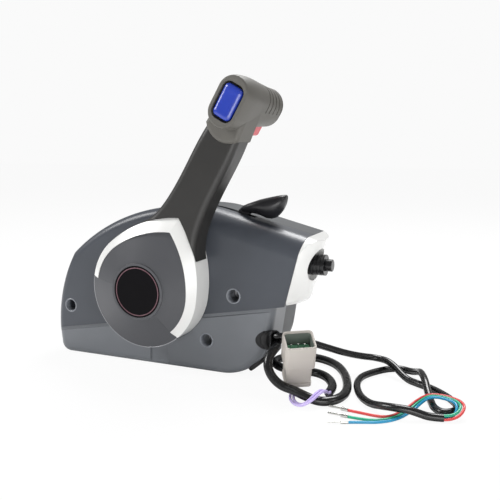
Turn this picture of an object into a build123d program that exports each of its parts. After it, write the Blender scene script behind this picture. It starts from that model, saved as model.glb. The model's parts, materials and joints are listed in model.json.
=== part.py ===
"""Side-mount boat throttle and shift control.

A single lever swings on a shaft through a moulded case. It carries a drive gear that turns
the shift arm and the throttle arm inside. The grip holds a trim rocker and a neutral lock
trigger, the case carries a fast-idle lever, a stop switch and two loose leads.

Millimetres. The origin is on the lever shaft's axis at the rear mounting face. +X points
aft, +Y into the boat's side, +Z up. The lever stands in neutral, leaning aft.
"""

import os
from math import atan2, cos, radians, sin, tan

from build123d import *

os.makedirs("parts", exist_ok=True)

# ---------------------------------------------------------------- driving dimensions

# Case
case_depth = 68.0  # mounting face to front face
rear_depth = 34.0  # mounting face to the joint between the case halves
wall = 3.0
fixed_gap = 0.1  # between pieces that are fixed together
run_gap = 0.4  # between pieces that move past each other
crown_radius = 20.0  # rolled shoulder along the top of the front cover
edge_radius = 8.0  # other front edges of the case
floor_z = -82.5
crown_peak = (58.0, 75.5)
crown_middle = (-45.0, 61.5)
crown_aft = (148.0, 52.5)
nose_top = (-101.5, 25.0)
nose_middle = (-118.2, -13.0)
nose_corner = 12.0
crown_corner = 90.0
nose_foot_x = -121.0
seam_height = -34.0  # height of the cover seam at the shaft
seam_slope = 10.3  # degrees, rising aft
seam_fore_x = -123.8
seam_aft_x = 132.0
seam_lip = 3.6  # height of the rebate under the seam
seam_lip_depth = 1.4
lower_aft_top_x = 122.5
lower_aft_foot_x = 112.0
lower_aft_radius = 52.0
lower_fore_radius = 11.0
lower_split_x = 10.4  # joint between the two lower covers
relief_width = 20.0  # shallow panel beside that joint
relief_depth = 1.0

# Aft end panel and stop switch
nose_bulge = 13.0
panel_corner = 7.0
panel_foot = (seam_aft_x, seam_height + seam_aft_x * tan(radians(seam_slope)))
switch_y = -40.0
switch_z = 26.0
switch_recess_radius = 15.0
switch_recess_depth = 9.0
switch_thread_radius = 7.5
switch_collar_radius = 9.7
switch_collar_length = 17.0
plunger_radius = 5.6
plunger_stem_radius = 3.5
plunger_reach = 6.0

# Mounting bolts
bolt_places = [(-105.2, -30.7), (81.5, -4.4), (52.9, -50.2)]
bolt_bore_radius = 3.4
sleeve_radius = 5.5
bolt_boss_radius = 9.0
bolt_head_radius = 5.9
bolt_head_depth = 16.0

# Shaft and bushes
shaft_radius = 8.0
shaft_clearance = 0.05
bush_radius = 12.0
bush_flange_radius = 14.5
bush_flange = 2.0
bush_length = 13.0
shaft_end_gap = 1.5

# Gears
gear_module = 2.5
gear_teeth = 20
gear_width = 9.0
gear_front_y = 18.0 - case_depth
shift_angle = 190.0  # direction of the shift gear from the shaft, degrees
mesh_backlash = 0.35
arm_thickness = 4.0
shift_arm_length = 28.0
shift_pin_radius = 5.0
throttle_pivot = (48.0, 28.0)
throttle_arm_length = 36.0
throttle_pin_radius = 4.0

# Lever (lateral and along are measured from the lever's own centre line)
lever_tilt = 30.0
lever_front_y = -(case_depth + 28.0)
lever_back_y = -(case_depth + 4.0)
lever_edge_radius = 6.0
arm_top = 176.0
arm_top_half = 15.5
arm_middle = (18.5, 125.0)
arm_low = (20.5, 88.0)
arm_flare = (26.0, 66.0)
arm_tip = (33.5, 54.0)
tongue_half = 17.0
tongue_front_y = -(case_depth + 18.0)
boss_radius = 33.0
hub_back_y = -(case_depth + 0.5)
hub_radius = 56.0
rim_y = -(case_depth + 25.4)  # front edge of the hub's side wall
inner_radius = 48.0  # inner edge of the white band
inner_y = -(case_depth + 30.8)
outer_corner = 80.0
outer_mid = (30.0, 56.5)
inner_corner = 65.0
inner_mid = (24.5, 47.0)
pick_tangent = 65.0  # degrees from the centre line where the corner leaves the circle
band_end = 110.0  # degrees from the centre line where the white band ends
badge_radius = 24.5
badge_boss_radius = 27.0
badge_y = -(case_depth + 37.0)
badge_thickness = 2.5
hub_wall = 3.0
lock_plate_radius = 44.0
lock_plate_thickness = 2.0

# Grip
head_along = 195.5
head_front_y = -(case_depth + 46.0)
head_length = 45.0
head_width = 27.0
grip_end_y = 46.0 - case_depth
grip_height = 36.0
grip_width = 30.0
grip_waist_y = -case_depth
grip_waist_height = 42.0
grip_waist_width = 29.0
collar_half = 17.6
collar_low = 159.5
collar_rise = 9.0
collar_front_y = -(case_depth + 30.5)
collar_back_y = -(case_depth + 2.0)
rib_count = 5
rib_pitch = 8.0
rib_width = 1.8
rib_depth = 1.6
rocker_length = 29.0
rocker_width = 18.0
rocker_proud = 2.0
pocket_length = 33.0
pocket_width = 21.0
pocket_depth = 8.0
trigger_y = (18.0 - case_depth, 37.0 - case_depth)
trigger_width = 13.0
trigger_low = 168.0
rod_radius = 2.5
rod_y = -(case_depth + 11.0)

# Fast-idle lever
blade_thickness = 5.0
blade_y = -38.0
blade_angle = 41.7  # direction of the blade from +X, degrees
blade_width = 10.0
paddle_width = 24.0
paddle_overhang = 40.1
slot_x = (14.0, 92.0)
idle_ring_radius = 14.0

# Detent, switch and screws inside the case
detent_wheel_radius = 22.0
detent_wheel_y = -28.0
detent_wheel_thickness = 6.0
detent_roller_radius = 4.0
detent_angle = -70.0
detent_notches = (0.0, -35.0, 35.0)
case_screw_places = [(-90.0, 15.0), (-15.0, 57.0), (127.0, 6.0), (-103.0, -68.0), (30.0, -71.0)]
case_screw_radius = 1.9
case_screw_head_radius = 3.6
case_screw_boss_radius = 5.0
case_screw_seat_y = -20.0
case_screw_end_y = -45.0

# Leads
gland_radius = 7.6
gland_flange_radius = 9.4
gland_place = (115.0, -64.8, -43.0)
gland_direction = (0.78, -0.6, 0.18)
gland_length = 9.0
harness_radius = 4.0
trim_lead_radius = 3.2
wire_radius = 1.2
grommet_radius = 8.5
connector_length = 47.0
connector_width = 27.0
connector_depth = 24.0
connector_foot = (147.0, -76.0, -73.3)
connector_lean = (0.18, -0.37, 0.91)
connector_lateral = (0.86, 0.51, 0.0)

front_y = -case_depth
split_y = -rear_depth
lever_right = Vector(cos(radians(lever_tilt)), 0, -sin(radians(lever_tilt)))
lever_up = Vector(sin(radians(lever_tilt)), 0, cos(radians(lever_tilt)))


def front_plane(y):
    """Plane facing the helmsman at depth y: sketch X is +X, sketch Y is +Z."""
    return Plane(origin=(0, y, 0), x_dir=(1, 0, 0), z_dir=(0, -1, 0))


def lever_plane(y):
    """The same, turned with the lever: sketch X is lateral, sketch Y runs up the lever."""
    return Plane(origin=(0, y, 0), x_dir=lever_right, z_dir=(0, -1, 0))


def lever_point(lateral, along, y):
    return lever_right * lateral + lever_up * along + Vector(0, y, 0)


def seam_z(x):
    return seam_height + x * tan(radians(seam_slope))


def finish(part, label):
    """Label one finished piece and write it out."""
    part.part.label = label
    export_step(part.part, f"parts/{label}.step")


# ---------------------------------------------------------------- case outlines


def upper_outline(inset=0.0):
    """Front view of the upper case, down to the seam, or the same drawn in by inset."""
    nose_foot = (seam_fore_x, seam_z(seam_fore_x))
    aft_foot = (seam_aft_x, seam_z(seam_aft_x))
    with BuildLine() as outline:
        ThreePointArc(nose_foot, nose_middle, nose_top)
        ThreePointArc(nose_top, crown_middle, crown_peak)
        Line(crown_peak, crown_aft)
        Line(crown_aft, aft_foot)
        Line(aft_foot, nose_foot)
    make_face(outline.edges())
    if inset:
        offset(amount=-inset, kind=Kind.INTERSECTION)
    fillet(vertices().sort_by_distance(nose_top)[0], nose_corner - inset)
    fillet(vertices().sort_by_distance(crown_peak)[0], crown_corner - inset)


def lower_outline(seam_drop=0.0):
    """Front view of the lower case, from the seam to the floor."""
    fore_top = (seam_fore_x, seam_z(seam_fore_x) - seam_drop)
    aft_top = (lower_aft_top_x, seam_z(lower_aft_top_x) - seam_drop)
    fore_foot = (nose_foot_x, floor_z)
    aft_foot = (lower_aft_foot_x, floor_z)
    with BuildLine() as outline:
        Polyline(fore_top, fore_foot, aft_foot, aft_top, close=True)
    make_face(outline.edges())
    corners = vertices().group_by(Axis.Y)[0].sort_by(Axis.X)
    fillet(corners[0], lower_fore_radius)
    fillet(vertices().group_by(Axis.Y)[0].sort_by(Axis.X)[-1], lower_aft_radius)


def inner_outline():
    """Front view of the space inside both halves of the outline, across the seam."""
    seam_reach = lower_aft_top_x - wall - seam_fore_x - wall - 1.5
    middle_x = (lower_aft_top_x + seam_fore_x) / 2
    with BuildSketch() as lower:
        lower_outline()
        offset(amount=-wall)
    upper_outline(wall)
    add(lower.sketch)
    with Locations(Location((middle_x, seam_z(middle_x), 0), (0, 0, seam_slope))):
        Rectangle(seam_reach, 2 * wall + 1)


def crown_block(inset):
    """Everything under the sloping top and its rolled front shoulder."""
    slope = atan2(crown_peak[1] - crown_aft[1], crown_aft[0] - crown_peak[0])
    along = (cos(slope), 0, -sin(slope))
    section = Plane(origin=(crown_peak[0], 0, crown_peak[1]), x_dir=(0, 1, 0), z_dir=along)
    reach = 2.5 * case_depth
    with BuildPart() as block:
        with BuildSketch(section):
            with Locations((front_y + inset, -inset)):
                Rectangle(reach, 4 * reach, align=(Align.MIN, Align.MAX))
            fillet(vertices().group_by(Axis.Y)[-1].sort_by(Axis.X)[0], crown_radius - inset)
        extrude(amount=4 * reach, both=True)
    return block.part


def upper_form(inset):
    """Outer or inner form of the front of the upper case."""
    with BuildPart() as form:
        with BuildSketch(front_plane(split_y)):
            upper_outline(inset)
        extrude(amount=case_depth - rear_depth - inset)
        front = form.faces().sort_by(Axis.Y)[0]
        rim = front.edges().sort_by(Axis.X)[:-1].sort_by(SortBy.LENGTH)[:-1]
        fillet(rim, edge_radius - inset)
        add(crown_block(inset), mode=Mode.INTERSECT)
    return form.part


def lower_form(inset):
    """Outer or inner form of the front of the lower case."""
    with BuildPart() as form:
        with BuildSketch(front_plane(split_y)):
            lower_outline(2 * fixed_gap)
            if inset:
                offset(amount=-inset)
        extrude(amount=case_depth - rear_depth - inset)
        front = form.faces().sort_by(Axis.Y)[0]
        rim = front.edges().sort_by(SortBy.LENGTH)[:-1]
        fillet(rim, edge_radius - inset)
    return form.part


# ---------------------------------------------------------------- place of the stop switch

panel_slope = (crown_aft[0] - seam_aft_x, 0, crown_aft[1] - panel_foot[1])
switch_floor_x = panel_foot[0] + (switch_z - panel_foot[1]) * panel_slope[0] / panel_slope[2]
switch_floor_x += nose_bulge - switch_recess_depth
switch_plane = Plane(origin=(switch_floor_x, switch_y, switch_z), x_dir=(0, 1, 0), z_dir=(1, 0, 0))
switch_hole_depth = 18.0

# ---------------------------------------------------------------- front covers

def screw_posts(form, places):
    """Posts for the case screws, from the joint to the inside of a cover's front wall."""
    with BuildPart() as posts:
        with BuildSketch(front_plane(split_y)):
            with Locations(*places):
                Circle(case_screw_boss_radius)
        extrude(amount=case_depth - rear_depth - wall / 2)
        add(form, mode=Mode.INTERSECT)
        with BuildSketch(front_plane(split_y)):
            with Locations(*places):
                Circle(case_screw_radius + fixed_gap)
        extrude(amount=split_y - case_screw_end_y + wall, mode=Mode.SUBTRACT)
    return posts.part


with BuildPart() as front_cover:
    add(upper_form(0))
    add(upper_form(wall), mode=Mode.SUBTRACT)
    with BuildSketch(front_plane(front_y + 14)):
        Circle(bush_radius + 5)
    extrude(amount=14)
    with BuildSketch(front_plane(split_y)):
        with Locations(*bolt_places[:2]):
            Circle(bolt_boss_radius)
    extrude(amount=case_depth - rear_depth)
    with BuildSketch(front_plane(split_y)):
        with Locations(*bolt_places[:2]):
            Circle(sleeve_radius + fixed_gap)
    extrude(amount=case_depth, mode=Mode.SUBTRACT)
    with BuildSketch(front_plane(front_y + bolt_head_depth)):
        with Locations(*bolt_places[:2]):
            Circle(bolt_head_radius)
    extrude(amount=bolt_head_depth, mode=Mode.SUBTRACT)
    with BuildSketch(front_plane(split_y)):
        Circle(bush_radius + fixed_gap)
    extrude(amount=case_depth, mode=Mode.SUBTRACT)
    add(screw_posts(upper_form(0), case_screw_places[:3]))
    with BuildSketch(front_plane(split_y)):
        with Locations(((slot_x[0] + slot_x[1]) / 2, crown_peak[1])):
            Rectangle(slot_x[1] - slot_x[0], 40)
    extrude(amount=-blade_y + blade_thickness / 2 + 1 - rear_depth, mode=Mode.SUBTRACT)
    with BuildSketch(switch_plane):
        Circle(switch_thread_radius + fixed_gap)
    extrude(amount=-switch_hole_depth, mode=Mode.SUBTRACT)
finish(front_cover, "front_cover")


def lower_cover(fore):
    """One of the two lower covers: the shell on its own side of the joint."""
    reach = 2 * case_depth + crown_aft[0]
    joint = fixed_gap if fore else -4 * fixed_gap
    with BuildPart() as cover:
        add(lower_form(0))
        add(lower_form(wall), mode=Mode.SUBTRACT)
        with BuildSketch(front_plane(split_y)):
            with Locations(bolt_places[2]):
                Circle(bolt_boss_radius)
        extrude(amount=case_depth - rear_depth)
        with BuildSketch(front_plane(split_y)):
            with Locations(bolt_places[2]):
                Circle(sleeve_radius + fixed_gap)
        extrude(amount=case_depth, mode=Mode.SUBTRACT)
        with BuildSketch(front_plane(front_y + bolt_head_depth)):
            with Locations(bolt_places[2]):
                Circle(bolt_head_radius)
        extrude(amount=bolt_head_depth, mode=Mode.SUBTRACT)
        add(screw_posts(lower_form(0), case_screw_places[3:]))
        with BuildSketch(front_plane(front_y + seam_lip_depth)):
            with Locations(Location((0, seam_height, 0), (0, 0, seam_slope))):
                Rectangle(2 * reach, 2 * seam_lip)
        extrude(amount=seam_lip_depth, mode=Mode.SUBTRACT)
        with BuildSketch(front_plane(front_y + relief_depth)):
            with Locations((lower_split_x, floor_z)):
                Rectangle(relief_width, -floor_z - hub_radius, align=(Align.MAX, Align.MIN))
        extrude(amount=relief_depth, mode=Mode.SUBTRACT)
        aft_side = Plane(origin=(lower_split_x - joint, 0, 0), z_dir=(1, 0, 0))
        split(bisect_by=aft_side, keep=Keep.BOTTOM if fore else Keep.TOP)
    return cover.part


gland_axis = Vector(*gland_direction).normalized()
grommet_angle = radians(-50.0)
grommet_centre = Vector(
    lower_aft_foot_x - lower_aft_radius * 0.865 + (lower_aft_radius - 2) * cos(grommet_angle),
    front_y + 14,
    floor_z + lower_aft_radius + (lower_aft_radius - 2) * sin(grommet_angle),
)
grommet_axis = Vector(cos(grommet_angle), 0, sin(grommet_angle))

with BuildPart() as lower_fore_cover:
    add(lower_cover(True))
finish(lower_fore_cover, "lower_fore_cover")

with BuildPart() as lower_aft_cover:
    add(lower_cover(False))
    with BuildSketch(Plane(origin=gland_place, z_dir=gland_direction)):
        Circle(gland_radius + fixed_gap)
    extrude(amount=12, both=True, mode=Mode.SUBTRACT)
    with BuildSketch(Plane(origin=grommet_centre, z_dir=grommet_axis)):
        Circle(grommet_radius + fixed_gap)
    extrude(amount=12, both=True, mode=Mode.SUBTRACT)
finish(lower_aft_cover, "lower_aft_cover")

# ---------------------------------------------------------------- rear housing

with BuildPart() as rear_housing:
    with BuildSketch(front_plane(0)):
        upper_outline()
        lower_outline()
    extrude(amount=rear_depth - fixed_gap)
    fillet(rear_housing.faces().sort_by(Axis.Y)[-1].edges(), 2.0)
    with BuildSketch(front_plane(-wall)):
        inner_outline()
    extrude(amount=rear_depth, mode=Mode.SUBTRACT)
    with BuildSketch(front_plane(-wall)):
        with Locations(*bolt_places):
            Circle(bolt_boss_radius)
    extrude(amount=rear_depth - wall - fixed_gap)
    with BuildSketch(front_plane(-wall)):
        Circle(bush_radius + 5)
    extrude(amount=bush_length + shaft_end_gap)
    with BuildSketch(front_plane(-wall)):
        with Locations(*case_screw_places):
            Circle(case_screw_boss_radius)
    extrude(amount=rear_depth - wall - fixed_gap)
    with BuildSketch(front_plane(0)):
        with Locations(*bolt_places):
            Circle(sleeve_radius + fixed_gap)
        with Locations(*case_screw_places):
            Circle(case_screw_radius + fixed_gap)
    extrude(amount=rear_depth, mode=Mode.SUBTRACT)
    with BuildSketch(front_plane(0)):
        with Locations(*case_screw_places):
            Circle(case_screw_head_radius + fixed_gap)
    extrude(amount=-case_screw_seat_y, mode=Mode.SUBTRACT)
    with BuildSketch(front_plane(-wall)):
        Circle(bush_radius + fixed_gap)
    extrude(amount=rear_depth, mode=Mode.SUBTRACT)
    with BuildSketch(switch_plane):
        Circle(switch_thread_radius + fixed_gap)
    extrude(amount=-switch_hole_depth, mode=Mode.SUBTRACT)
finish(rear_housing, "rear_housing")

with BuildPart() as mounting_sleeves:
    with BuildSketch(front_plane(0)):
        with Locations(*bolt_places):
            Circle(sleeve_radius)
            Circle(bolt_bore_radius, mode=Mode.SUBTRACT)
    extrude(amount=case_depth - bolt_head_depth)
finish(mounting_sleeves, "mounting_sleeves")

with BuildPart() as case_screws:
    with BuildSketch(front_plane(case_screw_seat_y + 3)):
        with Locations(*case_screw_places):
            Circle(case_screw_head_radius)
    extrude(amount=3)
    with BuildSketch(front_plane(case_screw_seat_y)):
        with Locations(*case_screw_places):
            Circle(case_screw_radius)
    extrude(amount=case_screw_seat_y - case_screw_end_y)
finish(case_screws, "case_screws")


# ---------------------------------------------------------------- aft end panel


def panel_form(inset):
    """Nose-shaped end: a bowed plan swept up the slanted joint, cut by the top and foot."""
    foot_x = panel_foot[0] + 2 * fixed_gap
    rear = -2.0
    with BuildPart() as form:
        with BuildSketch(Plane.XY.offset(panel_foot[1])):
            with BuildLine():
                mid = (foot_x + nose_bulge - inset, (front_y + rear) / 2)
                ThreePointArc((foot_x, front_y + 0.5 + inset), mid, (foot_x, rear - inset))
                Line((foot_x, rear - inset), (foot_x, front_y + 0.5 + inset))
            make_face()
        extrude(amount=4 * case_depth, dir=panel_slope)
        add(crown_block(inset), mode=Mode.INTERSECT)
        edge = form.edges().filter_by(GeomType.CIRCLE).group_by(Axis.Z)[0]
        if not inset:
            fillet(edge, panel_corner)
    return form.part


with BuildPart() as end_panel:
    add(panel_form(0))
    with BuildSketch(switch_plane):
        Circle(switch_recess_radius)
    extrude(amount=40, mode=Mode.SUBTRACT)
    with BuildSketch(switch_plane):
        Circle(switch_thread_radius + fixed_gap)
    extrude(amount=40, both=True, mode=Mode.SUBTRACT)
finish(end_panel, "end_panel")

with BuildPart() as stop_switch_body:
    with BuildSketch(switch_plane.offset(-16)):
        Circle(switch_thread_radius)
        Circle(plunger_stem_radius + run_gap, mode=Mode.SUBTRACT)
    extrude(amount=16 + fixed_gap)
    with BuildSketch(switch_plane.offset(fixed_gap)):
        Circle(switch_collar_radius)
        Circle(plunger_stem_radius + run_gap, mode=Mode.SUBTRACT)
    extrude(amount=switch_collar_length)
    for ridge in range(4):
        with BuildSketch(switch_plane.offset(3.2 + 3.4 * ridge)):
            Circle(switch_collar_radius)
            Circle(switch_collar_radius - 0.9, mode=Mode.SUBTRACT)
        extrude(amount=1.2, mode=Mode.SUBTRACT)
finish(stop_switch_body, "stop_switch_body")

with BuildPart() as stop_switch_nut:
    with BuildSketch(switch_plane.offset(-16)):
        Circle(11)
        Circle(switch_thread_radius + fixed_gap, mode=Mode.SUBTRACT)
    extrude(amount=5)
finish(stop_switch_nut, "stop_switch_nut")

with BuildPart() as stop_plunger:
    with BuildSketch(switch_plane.offset(switch_collar_length + fixed_gap + 0.3)):
        Circle(plunger_radius)
    extrude(amount=plunger_reach)
    fillet(stop_plunger.edges().sort_by(Axis.X)[-1], 0.8)
    with BuildSketch(switch_plane.offset(-12)):
        Circle(plunger_stem_radius)
    extrude(amount=12 + switch_collar_length + 1)
finish(stop_plunger, "stop_plunger")

# ---------------------------------------------------------------- shaft, bushes, gears

with BuildPart() as front_bush:
    with BuildSketch(front_plane(front_y + 14)):
        Circle(bush_radius)
        Circle(shaft_radius + shaft_clearance, mode=Mode.SUBTRACT)
    extrude(amount=bush_length)
    with BuildSketch(front_plane(front_y + 14 + fixed_gap + bush_flange)):
        Circle(bush_flange_radius)
        Circle(shaft_radius + shaft_clearance, mode=Mode.SUBTRACT)
    extrude(amount=bush_flange + fixed_gap)
finish(front_bush, "front_bush")

with BuildPart() as rear_bush:
    with BuildSketch(front_plane(-wall - fixed_gap)):
        Circle(bush_radius)
        Circle(shaft_radius + shaft_clearance, mode=Mode.SUBTRACT)
    extrude(amount=bush_length + shaft_end_gap)
finish(rear_bush, "rear_bush")

with BuildPart() as main_shaft:
    with BuildSketch(front_plane(-wall - shaft_end_gap)):
        Circle(shaft_radius)
    extrude(amount=-tongue_front_y - wall - shaft_end_gap)
    chamfer(main_shaft.edges().group_by(Axis.Y)[-1], 0.8)
finish(main_shaft, "main_shaft")


def tooth_gear(teeth, bore):
    """Spur gear face with straight-sided teeth, drawn about the origin."""
    pitch = gear_module * teeth / 2
    root = pitch - 1.25 * gear_module
    tip = pitch + gear_module - mesh_backlash
    half_root = 0.9 * gear_module - mesh_backlash / 2
    half_tip = 0.42 * gear_module - mesh_backlash / 2
    Circle(root)
    with PolarLocations(0, teeth):
        Polygon((root - 1, -half_root), (tip, -half_tip), (tip, half_tip), (root - 1, half_root), align=None)
    Circle(bore, mode=Mode.SUBTRACT)


gear_pitch_radius = gear_module * gear_teeth / 2
shift_centre = Vector(
    2 * gear_pitch_radius * cos(radians(shift_angle)), 0, 2 * gear_pitch_radius * sin(radians(shift_angle))
)
half_tooth = 180.0 / gear_teeth


def gear_plane(centre, turn, y):
    """Front-facing plane at a gear's centre, turned so that its first tooth points along turn."""
    x_axis = (cos(radians(turn)), 0, sin(radians(turn)))
    return Plane(origin=(centre.X, y, centre.Z), x_dir=x_axis, z_dir=(0, -1, 0))


with BuildPart() as drive_gear:
    with BuildSketch(gear_plane(Vector(0, 0, 0), shift_angle, gear_front_y + gear_width)):
        tooth_gear(gear_teeth, shaft_radius + fixed_gap)
    extrude(amount=gear_width)
finish(drive_gear, "drive_gear")

with BuildPart() as shift_gear:
    with BuildSketch(gear_plane(shift_centre, shift_angle + half_tooth, gear_front_y + gear_width)):
        tooth_gear(gear_teeth, shift_pin_radius + shaft_clearance)
    extrude(amount=gear_width)
    with BuildSketch(gear_plane(shift_centre, shift_angle, gear_front_y + gear_width + arm_thickness)):
        SlotCenterToCenter(shift_arm_length, 12)
        with Locations((shift_arm_length / 2, 0), (-shift_arm_length / 2, 0)):
            Circle(2.6, mode=Mode.SUBTRACT)
        Circle(shift_pin_radius + shaft_clearance, mode=Mode.SUBTRACT)
    extrude(amount=arm_thickness)
finish(shift_gear, "shift_gear")

with BuildPart() as shift_pin:
    with BuildSketch(gear_plane(shift_centre, 0, -wall - fixed_gap)):
        Circle(shift_pin_radius)
    extrude(amount=-gear_front_y + 3 - wall)
    with BuildSketch(gear_plane(shift_centre, 0, -wall - fixed_gap)):
        Circle(9)
    extrude(amount=-gear_front_y - gear_width - arm_thickness - wall - run_gap)
finish(shift_pin, "shift_pin")

throttle_centre = Vector(throttle_pivot[0], 0, throttle_pivot[1])
throttle_arm_y = -20.0
with BuildPart() as throttle_arm:
    with BuildSketch(gear_plane(throttle_centre, 0, throttle_arm_y)):
        with Locations((throttle_arm_length / 2, 0)):
            SlotCenterToCenter(throttle_arm_length, 11)
        Circle(9)
        with Locations((throttle_arm_length, 0)):
            Circle(2.6, mode=Mode.SUBTRACT)
        Circle(throttle_pin_radius + shaft_clearance, mode=Mode.SUBTRACT)
    extrude(amount=arm_thickness)
finish(throttle_arm, "throttle_arm")

with BuildPart() as throttle_pin:
    with BuildSketch(gear_plane(throttle_centre, 0, -wall - fixed_gap)):
        Circle(throttle_pin_radius)
    extrude(amount=-throttle_arm_y + arm_thickness + 2 - wall)
    with BuildSketch(gear_plane(throttle_centre, 0, -wall - fixed_gap)):
        Circle(8)
    extrude(amount=-throttle_arm_y - wall - run_gap)
finish(throttle_pin, "throttle_pin")

with BuildPart() as neutral_lock_plate:
    with BuildSketch(front_plane(front_y - fixed_gap)):
        Circle(lock_plate_radius)
        Circle(bush_radius + 4, mode=Mode.SUBTRACT)
    extrude(amount=lock_plate_thickness)
    with BuildSketch(lever_plane(front_y - fixed_gap)):
        with Locations((0, lock_plate_radius)):
            Circle(4)
    extrude(amount=lock_plate_thickness, mode=Mode.SUBTRACT)
finish(neutral_lock_plate, "neutral_lock_plate")

# ---------------------------------------------------------------- detent and switch

with BuildPart() as detent_wheel:
    with BuildSketch(lever_plane(detent_wheel_y)):
        Circle(detent_wheel_radius)
        Circle(shaft_radius + fixed_gap, mode=Mode.SUBTRACT)
        for notch in detent_notches:
            notch_angle = radians(detent_angle + notch + lever_tilt)
            notch_place = Vector(cos(notch_angle), sin(notch_angle)) * detent_wheel_radius
            with Locations(notch_place):
                Circle(3, mode=Mode.SUBTRACT)
    extrude(amount=detent_wheel_thickness)
finish(detent_wheel, "detent_wheel")

roller_reach = detent_wheel_radius + detent_roller_radius + run_gap
roller_centre = Vector(
    roller_reach * cos(radians(detent_angle)), 0, roller_reach * sin(radians(detent_angle))
)
spring_root = (roller_centre.X - 26.0, roller_centre.Z - 14.0)
spring_thickness = 1.2

with BuildPart() as detent_roller:
    with BuildSketch(gear_plane(roller_centre, 0, detent_wheel_y)):
        Circle(detent_roller_radius)
        Circle(1.6, mode=Mode.SUBTRACT)
    extrude(amount=detent_wheel_thickness)
finish(detent_roller, "detent_roller")

with BuildPart() as detent_spring:
    with BuildSketch(front_plane(detent_wheel_y + 3)):
        with Locations((roller_centre.X, roller_centre.Z)):
            Circle(1.5)
    extrude(amount=detent_wheel_thickness + 3)
    with BuildSketch(front_plane(detent_wheel_y + 3)):
        with BuildLine() as leaf:
            Polyline(
                (roller_centre.X, roller_centre.Z),
                (roller_centre.X - 5, roller_centre.Z - detent_roller_radius - 3),
                spring_root,
            )
        trace(leaf.edges(), line_width=spring_thickness)
    extrude(amount=2.5)
    with BuildSketch(front_plane(-wall - fixed_gap)):
        with Locations(spring_root):
            Circle(4)
    extrude(amount=-detent_wheel_y - wall)
finish(detent_spring, "detent_spring")

with BuildPart() as neutral_switch:
    with BuildSketch(front_plane(-wall - fixed_gap)):
        with Locations((-58, -64)):
            RectangleRounded(24, 12, 1)
            with Locations((-7, 0), (7, 0)):
                Circle(1.6, mode=Mode.SUBTRACT)
    extrude(amount=11)
finish(neutral_switch, "neutral_switch")

with BuildPart() as cable_clamp:
    with BuildSketch(front_plane(-wall - fixed_gap)):
        with Locations((66, -70)):
            Rectangle(26, 13)
    extrude(amount=16)
    with BuildSketch(Plane(origin=(66, -wall - 16, -70), z_dir=(1, 0, 0), x_dir=(0, 1, 0))):
        Circle(4)
    extrude(amount=20, both=True, mode=Mode.SUBTRACT)
finish(cable_clamp, "cable_clamp")

# ---------------------------------------------------------------- lever hub


def circle_point(radius, angle):
    """Point at an angle from the lever's centre line, positive to the aft side."""
    return (radius * sin(radians(angle)), radius * cos(radians(angle)))


def mirrored(point):
    return (-point[0], point[1])


def pick_outline(radius, corner, middle, grow=0.0):
    """Circle drawn out to a point up the lever, like a plectrum."""
    tangent = circle_point(radius, pick_tangent)
    with BuildLine() as outline:
        ThreePointArc((0, corner), middle, tangent)
        ThreePointArc(tangent, (0, -radius), mirrored(tangent))
        ThreePointArc(mirrored(tangent), mirrored(middle), (0, corner))
    make_face(outline.edges())
    if grow:
        offset(amount=grow, kind=Kind.INTERSECTION)


def band_sector(reach=200.0):
    """Wedge on the lever's side of the two ends of the white band."""
    with BuildLine() as outline:
        Polyline(
            (0, 0),
            circle_point(reach, band_end),
            (reach, reach),
            (-reach, reach),
            circle_point(reach, -band_end),
            close=True,
        )
    make_face(outline.edges())


def tongue_slot():
    """Clear the way of the lever's tongue through a piece of the hub."""
    with BuildSketch(lever_plane(hub_back_y + 1)) as slot:
        with Locations((0, boss_radius)):
            Rectangle(2 * (tongue_half + fixed_gap), 70, align=(Align.CENTER, Align.MIN))
    depth = hub_back_y + 1 - tongue_front_y + fixed_gap
    extrude(slot.sketch, amount=depth, dir=(0, -1, 0), mode=Mode.SUBTRACT)


badge_foot_y = badge_y + 1.2
hub_reach = hub_back_y - badge_y + 5


def face_cone(outer_radius, outer_y, drop):
    """Solid behind the cone from the badge boss down to an outer circle, lowered by drop."""
    slope = (outer_y - badge_foot_y) / (outer_radius - badge_boss_radius)
    flat_y = badge_foot_y + drop
    reach = outer_corner + 20
    foot_y = flat_y + slope * (reach - badge_boss_radius)
    with BuildPart() as block:
        with BuildSketch(Plane.XY):
            with BuildLine():
                rise = [(0, 0), (0, flat_y), (badge_boss_radius, flat_y)]
                Polyline(*rise, (reach, foot_y), (reach, 0), close=True)
            make_face()
        revolve(axis=Axis.Y)
    return block.part


def hub_lower(drop):
    """Round lower part of the hub cap, beyond the ends of the band."""
    with BuildPart() as lower:
        with BuildSketch(lever_plane(hub_back_y)):
            Circle(hub_radius - drop)
        extrude(amount=hub_reach)
        add(face_cone(hub_radius, rim_y, drop), mode=Mode.INTERSECT)
        with BuildSketch(lever_plane(hub_back_y)):
            band_sector()
        extrude(amount=hub_reach, mode=Mode.SUBTRACT)
    return lower.part


def hub_upper(drop):
    """Raised upper part of the hub cap, inside the band."""
    with BuildPart() as upper:
        with BuildSketch(lever_plane(hub_back_y)):
            pick_outline(inner_radius, inner_corner, inner_mid, -drop)
        extrude(amount=hub_reach)
        add(face_cone(inner_radius, inner_y + 0.6, drop), mode=Mode.INTERSECT)
        with BuildSketch(lever_plane(hub_back_y)):
            band_sector()
        extrude(amount=hub_reach, mode=Mode.INTERSECT)
    return upper.part


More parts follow.
